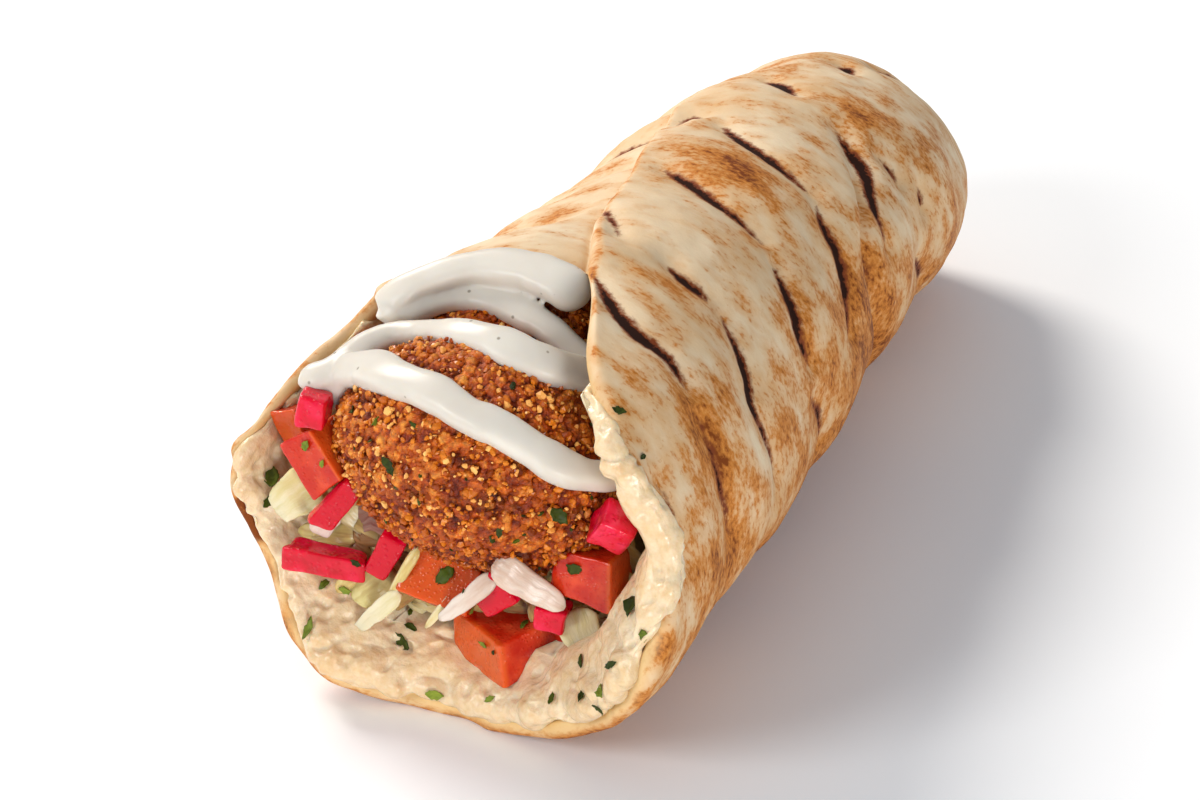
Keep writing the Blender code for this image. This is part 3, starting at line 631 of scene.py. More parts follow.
def skin(angle, y, depth, shrink=1.0, relief=0.0):
    """Point of the roll, some depth below its outer face: an oval section whose free long edge is
    lifted and whose layer below that edge is pressed in, plus relief outwards."""
    ring = (flap_angle(y) - angle) % 360
    turn = np.radians(angle)
    width = through(STATIONS, HALF_WIDTHS, y)
    height = through(STATIONS, HALF_HEIGHTS, y) + BASE_CUT / 2
    step = 1 - ease((y - FLAP_FADE[0]) / (FLAP_FADE[1] - FLAP_FADE[0]))
    lift = step * (FLAP_LIFT * (1 - ease(ring / 80)) - LAYER_SINK * ease((ring - 300) / 50))
    wave = 0.45 * np.sin(3 * turn + 0.045 * y) + 0.35 * np.sin(0.16 * y + 2 * turn)
    wave = wave * ease((1 - np.cos(turn)) / 0.6)
    outer = 1 - np.clip(depth / BREAD, 0, 1)
    inset = depth - lift - (wave - crease(angle, y)) * outer - relief
    x = through(STATIONS, SIDE_SHIFTS, y) + shrink * (width - inset) * np.sin(turn)
    z = height - BASE_CUT - shrink * (height - inset) * np.cos(turn)
    return np.stack(np.broadcast_arrays(x, y, z), -1)


def drawing_shift():
    """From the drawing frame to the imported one, whose origin is the middle of the bread's box."""
    ring, share = np.meshgrid(np.linspace(0, 357.5, 120), np.linspace(0, 1, 60))
    y = (rim_station(ring) + BREAD * 0.4) * (1 - share) + TAIL_FROM * share
    sides = skin(flap_angle(y) - ring, y, 0.0)[..., 0]
    x = -(sides.max() + sides.min()) / 2
    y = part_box("flatbread")[1][1] / MM - TAIL_END
    return np.array((x, y, 0.0))


def all_strokes():
    """The scorched strokes: those listed, and those of the bars on the far side."""
    strokes = list(STROKES)
    random = np.random.default_rng(5)
    for start, end in FAR_STROKES:
        for y in np.arange(-62, 88, BAR_PITCH):
            if random.uniform() < 0.2:
                continue
            low, high = start + random.uniform(-6, 10), end + random.uniform(-14, 4)
            y = y + random.uniform(-3, 3)
            slope = random.uniform(-8, 0)
            strokes.append((random.uniform(0.8, 1.6), ((low, y), ((low + high) / 2, y + slope / 2 + 1),
                                                       (high, y + slope))))
    return strokes


def stroke_distance(points, strokes):
    """Distance in mm from each point to the edge of the nearest stroke, negative inside, and to its
    middle line: along a stroke the half width swells and tapers as a half sine to the power 0.7."""
    nearest = np.full(points.shape[:-1], 12.0)
    middle = np.full(points.shape[:-1], 12.0)
    for half_width, places in strokes:
        angles, stations = np.array(places, float).T
        even = np.linspace(0, len(places) - 1, 4 * len(places) - 3)
        angle = through(np.arange(len(places)), angles, even)
        y = through(np.arange(len(places)), stations, even)
        line = skin(angle, y, 0.0)
        for k in range(len(line) - 1):
            run = line[k + 1] - line[k]
            t = np.clip(((points - line[k]) @ run) / (run @ run), 0, 1)
            away = np.linalg.norm(points - line[k] - t[..., None] * run, axis=-1)
            along = (k + t) / (len(line) - 1)
            width = half_width * np.clip(np.sin(np.pi * along), 0.03, 1) ** 0.7
            nearest = np.minimum(nearest, away - width)
            middle = np.minimum(middle, away)
    return nearest, middle


def toasting(points):
    """How much each point is toasted, 0 to 1: soft round patches over a low ground, and painted shade that
    darkens the lower sides.
    """
    amount = 0.02 + 0.12 * rough(points, 16, 2, 40)
    for angle, y, radius, strength in TOASTED:
        centre = skin(np.array(float(angle)), np.array(float(y)), 0.0)
        away = np.linalg.norm(points - centre, axis=-1) / radius
        amount = amount + 0.45 * strength * np.exp(-away ** 2)
    # Painted shade: the lower sides are coloured darker, where shade falls on them. The side away from the
    # flap's edge is toasted a little more.
    right = ease((points[..., 0] - 2) / 26)
    return amount + 0.46 * ease((30 - points[..., 2]) / 28) + 0.09 * right


def ring_places():
    """Ring angles of the bread's columns, closer together on both sides of the free edge."""
    return np.concatenate([np.linspace(0, 6, 15)[:-1], np.linspace(6, 353, 330)[:-1],
                           np.linspace(353, 359.7, 16)])


def flatbread():
    """One closed skin from the tail over the outer face, round the rim and back inside."""
    ring = ring_places()
    rim = rim_station(ring) + 0.5 * drift(np.stack([ring / 4, ring * 0, ring * 0], -1), 1.7, 3)
    radius = 35.0
    rows = []           # (station, depth, shrink) of each ring of points, outer tail first

    tail = np.linspace(np.pi / 2, 0, 34)[1:-1]
    for t in tail:
        along = np.sin(t) ** (2 / TAIL_ROUNDING)
        y = np.full_like(ring, TAIL_FROM + (TAIL_END - TAIL_FROM) * along)
        rows.append((y, np.zeros_like(ring), np.cos(t) ** (2 / TAIL_ROUNDING), along))
    for v in np.linspace(1, 0, 158):
        rows.append(((rim + BREAD / 2) * (1 - v) + TAIL_FROM * v, np.zeros_like(ring), 1.0, 0.0))
    for t in np.linspace(0, np.pi, 9)[1:-1]:
        rows.append((rim + BREAD / 2 * (1 - np.sin(t)), np.full_like(ring, BREAD / 2 * (1 - np.cos(t))),
                     1.0, 0.0))
    for v in np.concatenate([np.linspace(0, 0.3, 38), np.linspace(0.36, 1, 8)]):
        rows.append(((rim + BREAD / 2) * (1 - v) + TAIL_FROM * v, np.full_like(ring, BREAD), 1.0, 0.0))
    for t in np.linspace(0, np.pi / 2, 6)[1:-1]:
        along = np.sin(t) ** (2 / TAIL_ROUNDING)
        y = np.full_like(ring, TAIL_FROM + (TAIL_END - BREAD - TAIL_FROM) * along)
        rows.append((y, np.full_like(ring, BREAD), np.cos(t) ** (2 / TAIL_ROUNDING), along))

    y = np.stack([row[0] for row in rows])
    depth = np.stack([row[1] for row in rows])
    shrink = np.array([row[2] for row in rows])[:, None]
    closing = np.array([row[3] for row in rows])[:, None]
    angle = flap_angle(y) - ring
    smooth = skin(angle, y, depth, shrink)

    burn, middle = stroke_distance(smooth, all_strokes())
    outside = 1 - np.clip(depth / BREAD, 0, 1)
    burn = burn + 12 * (1 - outside)
    step = 1 - ease((y - FLAP_FADE[0]) / (FLAP_FADE[1] - FLAP_FADE[0]))
    from_edge = ring * np.pi / 180 * radius
    to_edge = (360 - ring) * np.pi / 180 * radius
    rolled = 1 - np.sqrt(1 - (1 - np.clip(from_edge / FLAP_ROUNDING, 0, 1)) ** 2)
    relief = -step * outside * (FLAP_LIFT + LAYER_SINK - 0.5) * rolled
    relief = relief - 0.5 * step * outside * np.exp(-(to_edge / 0.9) ** 2)
    relief = relief + 0.45 * rough(smooth, 15, 3, 1) + 0.10 * rough(smooth, 3.5, 2, 9)
    relief = relief - outside * (0.9 * np.exp(-(middle / 2.2) ** 2) + 0.9 * np.exp(-(middle / 7) ** 2))
    # Folds gather towards the middle of the tail.
    fold = np.abs(np.sin(np.radians(3.5 * angle) + 1.8 * closing))
    relief = relief - closing ** 2 * (2.2 * (1 - fold) ** 2 - TAIL_PLEAT * 20 * np.sin(np.radians(5 * angle)))
    points = skin(angle, y, depth, shrink, relief)
    points[..., 2] = np.maximum(points[..., 2], 0.02)

    # Across the tail's end the pattern follows the place itself, so that it isn't drawn to a point.
    sheet = np.stack([np.radians(angle) * radius, y, depth], -1)
    sheet = sheet + (smooth - sheet) * ease(closing * 2.2)[..., None]
    # Painted shade comes in here with the toasting: darker low on the sides.
    toast = toasting(smooth) * outside
    left_rim = ease((ring - 205) / 25) * ease((268 - ring) / 25)
    spots = np.exp(-((y - rim - 0.6) / 1.7) ** 2) * left_rim * ease(0.45 + 0.9 * rough(smooth, 6, 3, 70))
    near_rim = np.exp(-((y - rim - 1) / 2.2) ** 2)
    toast = toast + near_rim * outside * (0.15 + 0.3 * rough(smooth, 7, 3, 71)) + 1.1 * spots
    flap_line = step * outside * np.exp(-((from_edge - 1.2) / 0.7) ** 2)
    toast = toast + 0.3 * flap_line
    inner = np.clip(depth / BREAD * 1.6 - 0.4, 0, 1) * (1 - np.clip(1.6 * spots, 0, 1))
    whole, faces = loft(points)
    ends = np.vstack([sheet.reshape(-1, 3), sheet[0].mean(0), sheet[-1].mean(0)])
    add_piece("flatbread_griddled", whole, faces, bread_look(), "flatbread", ("flatbread",),
              inside_out=True, sheet=ends, burn=with_ends(burn), toast=with_ends(toast),
              inner=with_ends(inner))


# -- hummus and salad ----------------------------------------------------------------------------

# The hummus's front in profile, from its outer foot to where it runs in under the salad: depth
# below the bread's outer face, and station from the rim. It stays within the bread, or laps over
# the rim where it was smeared.
HUMMUS_PROFILE = (0, 0.14, 0.3, 0.5, 0.74, 1)
HUMMUS_WITHIN = ((3.4, 3.5, 4.4, 6.2, 8.4, 11.5), (2.4, 0.4, -0.9, -0.2, 3.0, 7.5))
HUMMUS_LAPPED = ((0.4, -0.5, 0.6, 3.4, 6.0, 8.5), (1.6, 0.3, -1.7, -1.6, 2.0, 7.0))
HUMMUS_LAP = (78, 148)       # angles between which it laps over the rim
FRONT_ROWS = 110


def hummus():
    """A closed profile carried round the lining: along the bread, up its lumpy front, back inside."""
    low, high = HUMMUS_ANGLES[0] - 26, HUMMUS_LAP[1]
    angle = np.linspace(low, high, 460)[:, None]
    side = ease((angle - HUMMUS_ANGLES[0]) / 35) * ease((HUMMUS_ANGLES[1] + 12 - angle) / 40)
    lap = ease((angle - HUMMUS_LAP[0]) / 25) * ease((HUMMUS_LAP[1] + 6 - angle) / 20)
    rim = rim_station((169 - angle) % 360)

    share = np.linspace(0, 1, FRONT_ROWS)
    within = [through(HUMMUS_PROFILE, values, share)[None, :] for values in HUMMUS_WITHIN]
    lapped = [through(HUMMUS_PROFILE, values, share)[None, :] for values in HUMMUS_LAPPED]
    front_depth, front_y = (a * (1 - lap) + b * lap for a, b in zip(within, lapped))
    front_depth = np.where(front_depth > 3, 3 + (front_depth - 3) * (0.25 + 0.75 * side), front_depth)
    # Low in the middle it was pressed out as far as the rim's edge.
    front_depth = front_depth - 2.4 * np.exp(-((angle - 12) / 18) ** 2) * np.clip(1 - 3 * share, 0, 1)
    front_y = front_y + rim

    back = np.array((1, 0.7, 0.45, 0.25, 0.12, 0.06, 0.03, 0.015, 0.008, 0.004))[None, :]
    outer_y = front_y[:, :1] * (1 - back) + FILL_END * back
    sunk = ease(back / 0.012)
    outer_depth = front_depth[:, :1] * (1 - sunk) + (BREAD + 0.6) * sunk
    inner = np.linspace(0, 1, 14)[None, 1:]
    inner_y = front_y[:, -1:] * (1 - inner) + FILL_END * inner
    thick = BREAD + 0.8 + 7.0 * side
    inner_depth = front_depth[:, -1:] * (1 - ease(inner * 6)) + thick * ease(inner * 6)
    y = np.hstack([outer_y, front_y, inner_y])
    depth = np.hstack([outer_depth, front_depth, inner_depth])
    smooth = skin(np.broadcast_to(angle, y.shape), y, depth)

    front = np.zeros(y.shape[1])
    first = back.shape[1]
    front[first:first + FRONT_ROWS] = ease((share + 0.05) / 0.12) * ease((1.15 - share) / 0.2)
    out = np.cross(np.gradient(smooth, axis=1), np.gradient(smooth, axis=0))
    out /= np.maximum(np.linalg.norm(out, axis=-1, keepdims=True), 1e-6)
    # The paste was pushed about with a knife: the noise is read at points that are stirred first.
    stirred = smooth + 1.6 * np.stack([drift(smooth, 5.0, 300 + k) for k in range(3)], -1)
    smear = 1 - 2.2 * np.abs(drift(stirred * (1, 1, 1.5), 5.5, 25))
    near, _, own = grains(stirred, 2.5, 33)
    knob = np.where(own > 0.5, ease(1 - near / 0.62), 0)
    lump = 0.8 * rough(stirred, 7.5, 2, 21) + 0.5 * smear + 0.85 * knob + 0.16 * rough(stirred, 1.5, 2, 36)
    # It swells round the pieces that were pressed into it.
    for name in ("tomato_b", "tomato_d", "turnip_g"):
        centre, edges, _ = DICE[name]
        away = np.linalg.norm((smooth - centre) / (np.array(edges) * 0.62 + 0.6), axis=-1)
        lump = lump + 0.6 * np.exp(-((away - 1.2) / 0.25) ** 2)
    points = smooth + out * (front * (lump - 0.4))[..., None]
    points[..., 2] = np.maximum(points[..., 2], 0.3)
    whole, faces = loft(points)
    # Painted light and shade: the colour follows the lumps, lighter on the crests and darker in the hollows.
    height = np.clip(0.44 + 0.13 * lump, 0, 1)
    return add_piece("hummus_spread", whole, faces, paste_look(), "hummus", ("hummus",),
                     height=with_ends(height))


def salad_core():
    """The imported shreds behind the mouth: a lumpy body inside the lining, low under the falafels."""
    angle = np.linspace(0, 2 * np.pi, 90, endpoint=False)[None, :]
    y = np.linspace(-67, FILL_END - 6, 60)[:, None]
    rise = ease((y + 45) / 37)
    top = 17 + rise * (2 * through(STATIONS, HALF_HEIGHTS, y) - 27)
    half_height = (top - 9) / 2
    width = through(STATIONS, HALF_WIDTHS, y) - 13
    end = np.sqrt(np.clip(1 - (1 - np.clip((y + 68) / 5, 0, 1)) ** 2, 0.05, 1))
    end = end * np.sqrt(np.clip((FILL_END - y) / 12, 0.05, 1))
    middle = through(STATIONS, SIDE_SHIFTS, y)
    x = middle + width * end * np.sign(np.cos(angle)) * np.abs(np.cos(angle)) ** 0.7
    z = 9 + half_height + half_height * end * np.sign(np.sin(angle)) * np.abs(np.sin(angle)) ** 0.7
    smooth = np.stack(np.broadcast_arrays(x, y, z), -1)
    centre = np.stack(np.broadcast_arrays(middle, y, 9 + half_height), -1)
    out = smooth - centre
    out = out / np.maximum(np.linalg.norm(out, axis=-1, keepdims=True), 1)
    points = smooth + out * (0.9 * rough(smooth, 4, 3, 50))[..., None]
    whole, faces = loft(points)
    look = leaf_look("packed_salad", "#8A6A3C", "#C8B47C", "#D9CFA2")
    add_piece("salad_core", whole, faces, look, "salad", ("salad_bed",), inside_out=True,
              tint=np.full(len(whole), 0.1), veins=whole / (4, 4, 1.5))


def strand(start, end, width, thickness, bend, rows=19, sides=12):
    """Cut strip between two places: an oblong section carried along an arc that humps towards the
    eye, narrower at its far end and waved along its length. Gives its rings of points, and the same
    points measured along and across it, for the veins."""
    start, end = np.array(start, float), np.array(end, float)
    along = end - start
    length = np.linalg.norm(along)
    along /= length
    up = VIEW_BACK - (VIEW_BACK @ along) * along
    up /= np.linalg.norm(up)
    u = np.linspace(-0.5, 0.5, rows)[:, None]
    arc = radians(max(bend, 1))
    reach = length / arc
    taper = np.clip(1 - (2 * np.abs(u)) ** 6, 0.12, 1) ** 0.6 * (1 - 0.5 * u)
    turn = np.linspace(0, 2 * np.pi, sides, endpoint=False)[None, :]
    across = width / 2 * taper * np.sign(np.cos(turn)) * np.abs(np.cos(turn)) ** 0.5
    rise = thickness / 2 * taper * np.sign(np.sin(turn)) * np.abs(np.sin(turn)) ** 0.7
    rise = rise + 0.3 * np.sin(7 * u + width) + 0.48 * across ** 2 / width
    run = np.sin(u * arc) * (reach + rise)
    hump = np.cos(u * arc) * (reach + rise) - reach * cos(arc / 2)
    places = (start + end) / 2 + run[..., None] * along + hump[..., None] * up
    places = places + across[..., None] * np.cross(along, up)
    veins = np.stack(np.broadcast_arrays(run / 8, across, rise * 0.5), -1)
    return places, veins


def strips():
    """The onion and cabbage strips that lie at the mouth; the broad ones have a torn outline."""
    onion = leaf_look("raw_onion", "#96584A", "#CDB29E", "#E2D4C6")
    cabbage = leaf_look("white_cabbage", "#A88C4C", "#CEBF80", "#E2D6B4")
    for number, (name, (*shape, pale)) in enumerate(STRIPS.items()):
        rings, veins = strand(*shape)
        torn = 0.45 if shape[2] >= 5 else 0.2
        rings = rings + torn * np.stack([rough(rings, 2.2, 3, 60 + number + k) for k in range(3)], -1)
        points, faces = loft(rings)
        is_onion = name.startswith("onion")
        tint = with_ends(np.broadcast_to(pale + np.linspace(-0.1, 0.15, len(rings))[:, None], rings.shape[:2]))
        veins = np.vstack([veins.reshape(-1, 3), veins[0].mean(0), veins[-1].mean(0)])
        add_piece(name + "_cut", points, faces, onion if is_onion else cabbage,
                  "onion" if is_onion else "cabbage", (name,), tint=tint, veins=veins)


def shreds(random):
    """Loose shreds that fill the gaps between the pieces at the mouth, one mesh: a heap of them, and those
    listed one by one."""
    blocks, faces, tints, marks, first = [], [], [], [], 0
    heap = []
    for number in range(150):
        x, y = random.uniform(-29, 23), random.uniform(-72, -66)
        middle = np.array((x, y, 13 + random.uniform(0, 12) + 0.006 * x * x))
        way = random.normal(size=3) * (1, 0.3, 0.8)
        way *= random.uniform(3.5, 7.5) / np.linalg.norm(way)
        heap.append((middle - way, middle + way, random.uniform(1.6, 4.2), random.uniform(0.4, 0.8),
                     random.uniform(10, 70), random.uniform(-0.1, 0.45)))
    # A few more close the hollow between the left wall and the falafels.
    for number in range(36):
        y = random.uniform(-66, -54)
        middle = np.array((-28 - 0.1 * (y + 60) + random.uniform(-2, 2), y, random.uniform(26, 37)))
        way = random.normal(size=3) * (0.3, 1, 0.5)
        way *= random.uniform(3, 5) / np.linalg.norm(way)
        heap.append((middle - way, middle + way, random.uniform(2, 4.2), random.uniform(0.4, 0.8),
                     random.uniform(10, 60), random.uniform(0.2, 0.6)))
    for *shape, pale in (*heap, *LAID_SHREDS):
        rings, veins = strand(*shape, rows=10, sides=6)
        points, blocked = loft(rings)
        blocks.append(points)
        faces.extend(block + first for block in blocked)
        tints.append(np.full(len(points), pale))
        marks.append(np.vstack([veins.reshape(-1, 3), veins[0].mean(0), veins[-1].mean(0)]))
        first += len(points)
    look = leaf_look("shredded_cabbage", "#9A5E3C", "#D2BA74", "#EADCB4")
    add_piece("salad_shreds", np.vstack(blocks), faces, look, "salad", tint=np.concatenate(tints),
              veins=np.vstack(marks))


# -- falafels ------------------------------------------------------------------------------------

def behind(points, centre, halves):
    """Keeps points in front of a neighbouring ball: y no greater than that of its near face."""
    off = (points - centre) / halves
    inside = 1 - off[..., 0] ** 2 - off[..., 2] ** 2
    face = centre[1] - halves[1] * np.sqrt(np.clip(inside, 0, 1)) - 0.3
    points = points.copy()
    points[..., 1] = np.where(inside > 0, np.minimum(points[..., 1], face), points[..., 1])
    return points


def falafel_points(unit, halves, turn, centre, seed):
    """The solid's lumpy ball at unit directions, and its outward direction there."""
    x, y, z = np.moveaxis(unit, -1, 0)
    lump = np.sin(3.1 * x + 2.3 * z + seed) + np.sin(3.7 * y - 2.9 * x + 2 * seed)
    points = unit * halves * (1 + FALAFEL_LUMP * lump / 2)[..., None]
    out = unit / halves
    out = out / np.linalg.norm(out, axis=-1, keepdims=True)
    shape = points.shape
    points = turned(points.reshape(-1, 3), turn).reshape(shape) + centre
    return points, turned(out.reshape(-1, 3), turn).reshape(shape)


def falafels(random):
    """Each ball is a sphere grid with crumb relief: big and small grains, slow lumps and pits."""
    look, loose_look, herb = crust_look(), crumb_look(), herb_look()
    for seed, (name, (centre, halves, turn)) in enumerate(FALAFELS.items()):
        rows = 210 if name == "falafel_front" else 160
        lat = np.linspace(0.004, np.pi - 0.004, rows)[:, None]
        lon = np.linspace(0, 2 * np.pi, 2 * rows, endpoint=False)[None, :]
        unit = np.stack([np.sin(lat) * np.cos(lon), np.sin(lat) * np.sin(lon),
                         np.cos(lat) * np.ones_like(lon)], -1)
        smooth, out = falafel_points(unit, np.array(halves), turn, np.array(centre), seed)
        near, next_near, own = grains(smooth, 1.5, 80 + seed)
        small, _, small_own = grains(smooth, 0.8, 90 + seed)
        pits = np.clip(rough(smooth, 3.2, 3, 15 + seed) - 0.2, 0, 1)
        crumb = 0.8 * (0.55 - near) + 0.45 * (own - 0.5) + 0.4 * (0.5 - small) - 1.0 * pits
        relief = crumb + 0.35 * rough(smooth, 8, 2, 30)
        points = smooth + out * relief[..., None]
        back_centre, back_halves, _ = FALAFELS["falafel_back"]
        if name == "falafel_front":
            points = behind(points, np.array(back_centre), np.array(back_halves))
        whole, faces = loft(points)
        # Painted shade: the underside is coloured darker, in its height and in its grains' tones, where shade
        # falls under the ball.
        fried = ease((0.1 - unit[..., 2]) / 0.9)
        # Painted light and shade: this height colours the crust, dark in the pits, pale on the grains that
        # stand up.
        height = np.clip(0.55 + 0.8 * crumb - 0.16 * fried, 0, 1)
        add_piece(name + "_crust", whole, faces, look, "falafel_crust", (name,), False, inside_out=True,
                  height=with_ends(height),
                  grain=with_ends((0.6 * own + 0.4 * small_own) * (1 - 0.45 * fried)))

        # Chips of crust stand half out of it, and a few shreds of herb between them.
        count = 5200
        direction = random.normal(size=(count, 3))
        direction /= np.linalg.norm(direction, axis=1)[:, None]
        seats, out = falafel_points(direction, np.array(halves), turn, np.array(centre), seed)
        seats = seats + out * random.uniform(-0.2, 0.3, (count, 1))
        seats = seats[seats[:, 1] < (-57 if name == "falafel_front" else -38)]
        chips, sprigs = seats[:-70], seats[-70:]
        size = random.gamma(4.0, 0.105, (len(chips), 1)).clip(0.2, 1.05) * (1, 0.78, 0.6)
        # Painted shade: chips low on the ball are given darker tones.
        fried = ease((centre[2] - 1 - chips[:, 2]) / (0.9 * halves[2]))
        specks(name + "_crumbs", chips, size, random, loose_look, "falafel_crust",
               random.beta(2.0, 1.3, len(chips)) * (1 - 0.5 * fried))
        size = random.uniform(0.35, 0.8, (len(sprigs), 1)) * (1, 0.6, 0.35)
        specks(name + "_herbs", sprigs, size, random, herb, "falafel_crust",
               random.uniform(0, 0.35, len(sprigs)))


def icosahedron():
    """Twelve points of three crossed golden rectangles, and their twenty faces."""
    g = (1 + 5 ** 0.5) / 2
    points = np.array([(-1, g, 0), (1, g, 0), (-1, -g, 0), (1, -g, 0), (0, -1, g), (0, 1, g),
                       (0, -1, -g), (0, 1, -g), (g, 0, -1), (g, 0, 1), (-g, 0, -1), (-g, 0, 1)], float)
    faces = np.array([(0, 11, 5), (0, 5, 1), (0, 1, 7), (0, 7, 10), (0, 10, 11), (1, 5, 9), (5, 11, 4),
                      (11, 10, 2), (10, 7, 6), (7, 1, 8), (3, 9, 4), (3, 4, 2), (3, 2, 6), (3, 6, 8),
                      (3, 8, 9), (4, 9, 5), (2, 4, 11), (6, 2, 10), (8, 6, 7), (9, 8, 1)])
    return points / np.linalg.norm(points[0]), faces


def specks(name, seats, sizes, random, look, slot, tint):
    """Many small uneven grains as one mesh: a squashed, jittered icosahedron at each seat."""
    points, faces = icosahedron()
    count = len(seats)
    body = points[None] * (1 + random.uniform(-0.25, 0.25, (count, len(points), 1)))
    body = body * sizes[:, None, :]
    body = np.einsum("nij,nkj->nki", random_turns(count, random), body) + seats[:, None, :]
    every = (faces[None] + np.arange(count)[:, None, None] * len(points)).reshape(-1, 3)
    add_piece(name, body.reshape(-1, 3), [every], look, slot, smooth=False, tint=np.repeat(tint, len(points)))


# -- dice ----------------------------------------------------------------------------------------

def block(edges, power, cells):
    """Rounded block: the six faces of a cube grid divided by their p-norm, scaled to the edges."""
    line = np.sin(np.linspace(-1, 1, cells) * np.pi / 2)
    u, v = np.meshgrid(line, line, indexing="ij")
    one = np.ones_like(u)
    sides = [(one, u, v), (-one, v, u), (v, one, u), (u, -one, v), (u, v, one), (v, u, -one)]
    cube = np.stack([np.stack(side, -1) for side in sides])
    norm = (np.abs(cube) ** power).sum(-1, keepdims=True) ** (1 / power)
    faces = [grid_faces(cells, cells, first=k * cells * cells) for k in range(6)]
    return (cube / norm).reshape(-1, 3), (cube / norm).reshape(-1, 3) * np.array(edges) / 2, faces


def dice():
    """Tomato dice and turnip sticks: rounded blocks, tapered and cut a little unevenly."""
    tomato, turnip = tomato_look(), turnip_look()
    uneven = np.random.default_rng(8)
    for number, (name, (centre, edges, turn)) in enumerate(DICE.items()):
        is_tomato = name.startswith("tomato")
        unit, points, faces = block(edges, 20 if is_tomato else 9, 30)
        taper = uneven.uniform(-0.12, 0.12, (3, 3))
        points = points * (1 + unit @ taper * (1, 1, 1))
        points = points * (1 + 0.07 * drift(unit, 1.3, 200 + number)[:, None])
        points = turned(points, turn) + centre
        grainy = 0.16 * rough(points, 3.0, 2, 220 + number) + 0.03 * rough(points, 0.9, 2, 240)
        points = points + grainy[:, None] * turned(unit, turn)
        skin_side = ease((unit[:, 1] * -1 - 0.8) / 0.12) if number % 2 else ease((unit[:, 0] - 0.8) / 0.12)
        piece = add_piece(name + "_cut", points, faces, tomato if is_tomato else turnip,
                          "tomato" if is_tomato else "pickled_turnip", (name,), skin=skin_side)
        weld(piece)


def weld(piece):
    """Joins the points that two faces of a block share."""
    modifier = piece.modifiers.new("weld", "WELD")
    modifier.merge_threshold = 0.00001


# -- drizzle -------------------------------------------------------------------------------------

def thread(points_and_widths, seed):
    """One poured thread: oval sections carried along its smoothed line, flat towards the food,
    rounding off at both ends as a quarter circle does."""
    path = np.array([place for place, _ in points_and_widths], float)
    widths = np.array([width for _, width in points_and_widths], float)
    run = np.concatenate([[0], np.cumsum(np.linalg.norm(np.diff(path, axis=0), axis=1))])
    at = np.arange(0, run[-1], 0.5)
    line = np.stack([through(run, path[:, k], at) for k in range(3)], -1)
    half_width = through(run, widths, at)
    along = np.gradient(line, axis=0)
    along /= np.linalg.norm(along, axis=1)[:, None]
    across = np.cross(along, SAUCE_TILT)
    across /= np.linalg.norm(across, axis=1)[:, None]
    rise = np.cross(across, along)
    to_end = np.minimum(at, at[-1] - at) / 3.0
    rounding = np.sqrt(np.clip(1 - (1 - np.minimum(to_end, 1)) ** 2, 0.02, 1))
    turn = np.linspace(0, 2 * np.pi, 24, endpoint=False)
    run_along = np.stack([at, at * 0, at * 0], -1)
    wobble = 1 + 0.10 * drift(run_along, 5.0, seed) + 0.05 * drift(run_along, 2.2, seed + 5)
    sideways = (half_width * rounding * wobble)[:, None] * np.sign(np.cos(turn)) * np.abs(np.cos(turn)) ** 0.85
    tall = SAUCE_HEIGHT * np.minimum(half_width / 2.4, 1.15) * rounding
    upwards = tall[:, None] * np.where(np.sin(turn) > 0, 1.0, 1.5) * np.sign(np.sin(turn)) * np.abs(
        np.sin(turn)) ** 0.65
    return line[:, None] + across[:, None] * sideways[..., None] + rise[:, None] * upwards[..., None]


def drizzle():
    """The threads as one body: merged where they touch, then settled smooth."""
    blocks, faces, first = [], [], 0
    for seed, points_and_widths in enumerate(THREADS):
        points, blocked = loft(thread(points_and_widths, seed))
        blocks.append(points)
        faces.extend(block + first for block in blocked)
        first += len(points)
    piece = add_piece("drizzle", np.vstack(blocks), faces, sauce_look(), "white_sauce", ("sauce",))
    merge = piece.modifiers.new("merge", "REMESH")
    merge.mode = "VOXEL"
    merge.voxel_size = 0.4 * MM
    merge.use_smooth_shade = True
    settle = piece.modifiers.new("settle", "SMOOTH")
    settle.factor = 0.5
    settle.iterations = 5


# -- herbs ---------------------------------------------------------------------------------------

def leaf_bits(sizes, random):
    """Torn bits of leaf: a five-by-nine grid, its outline toothed, folded along its middle and
    thin; top and bottom faces joined round the border."""
    rows, columns = 5, 9
    u = np.linspace(-1, 1, columns)[None, None, :]
    v = np.linspace(-1, 1, rows)[None, :, None]
    count = len(sizes)
    slim = random.uniform(0.25, 0.65, (count, 1, 1))
    teeth = 1 + 0.14 * np.sin(u * 7 + random.uniform(0, 6, (count, 1, 1))) * np.sign(v)
    x = u * np.sqrt(1 - 0.35 * v * v) + 0.07 * random.normal(size=(count, rows, columns))
    y = v * slim * np.sqrt(np.clip(1.08 - u * u, 0.05, 1)) * teeth
    fold = random.uniform(0.1, 0.5, (count, 1, 1))
    curl = random.uniform(-0.35, 0.35, (count, 1, 1))
    z = fold * np.abs(y) + curl * x * x + 0.05 * random.normal(size=(count, rows, columns))
    top = np.stack(np.broadcast_arrays(x, y, z), -1) * sizes[:, None, None, None] / 2
    bottom = top - (0, 0, 0.12)
    return top, bottom


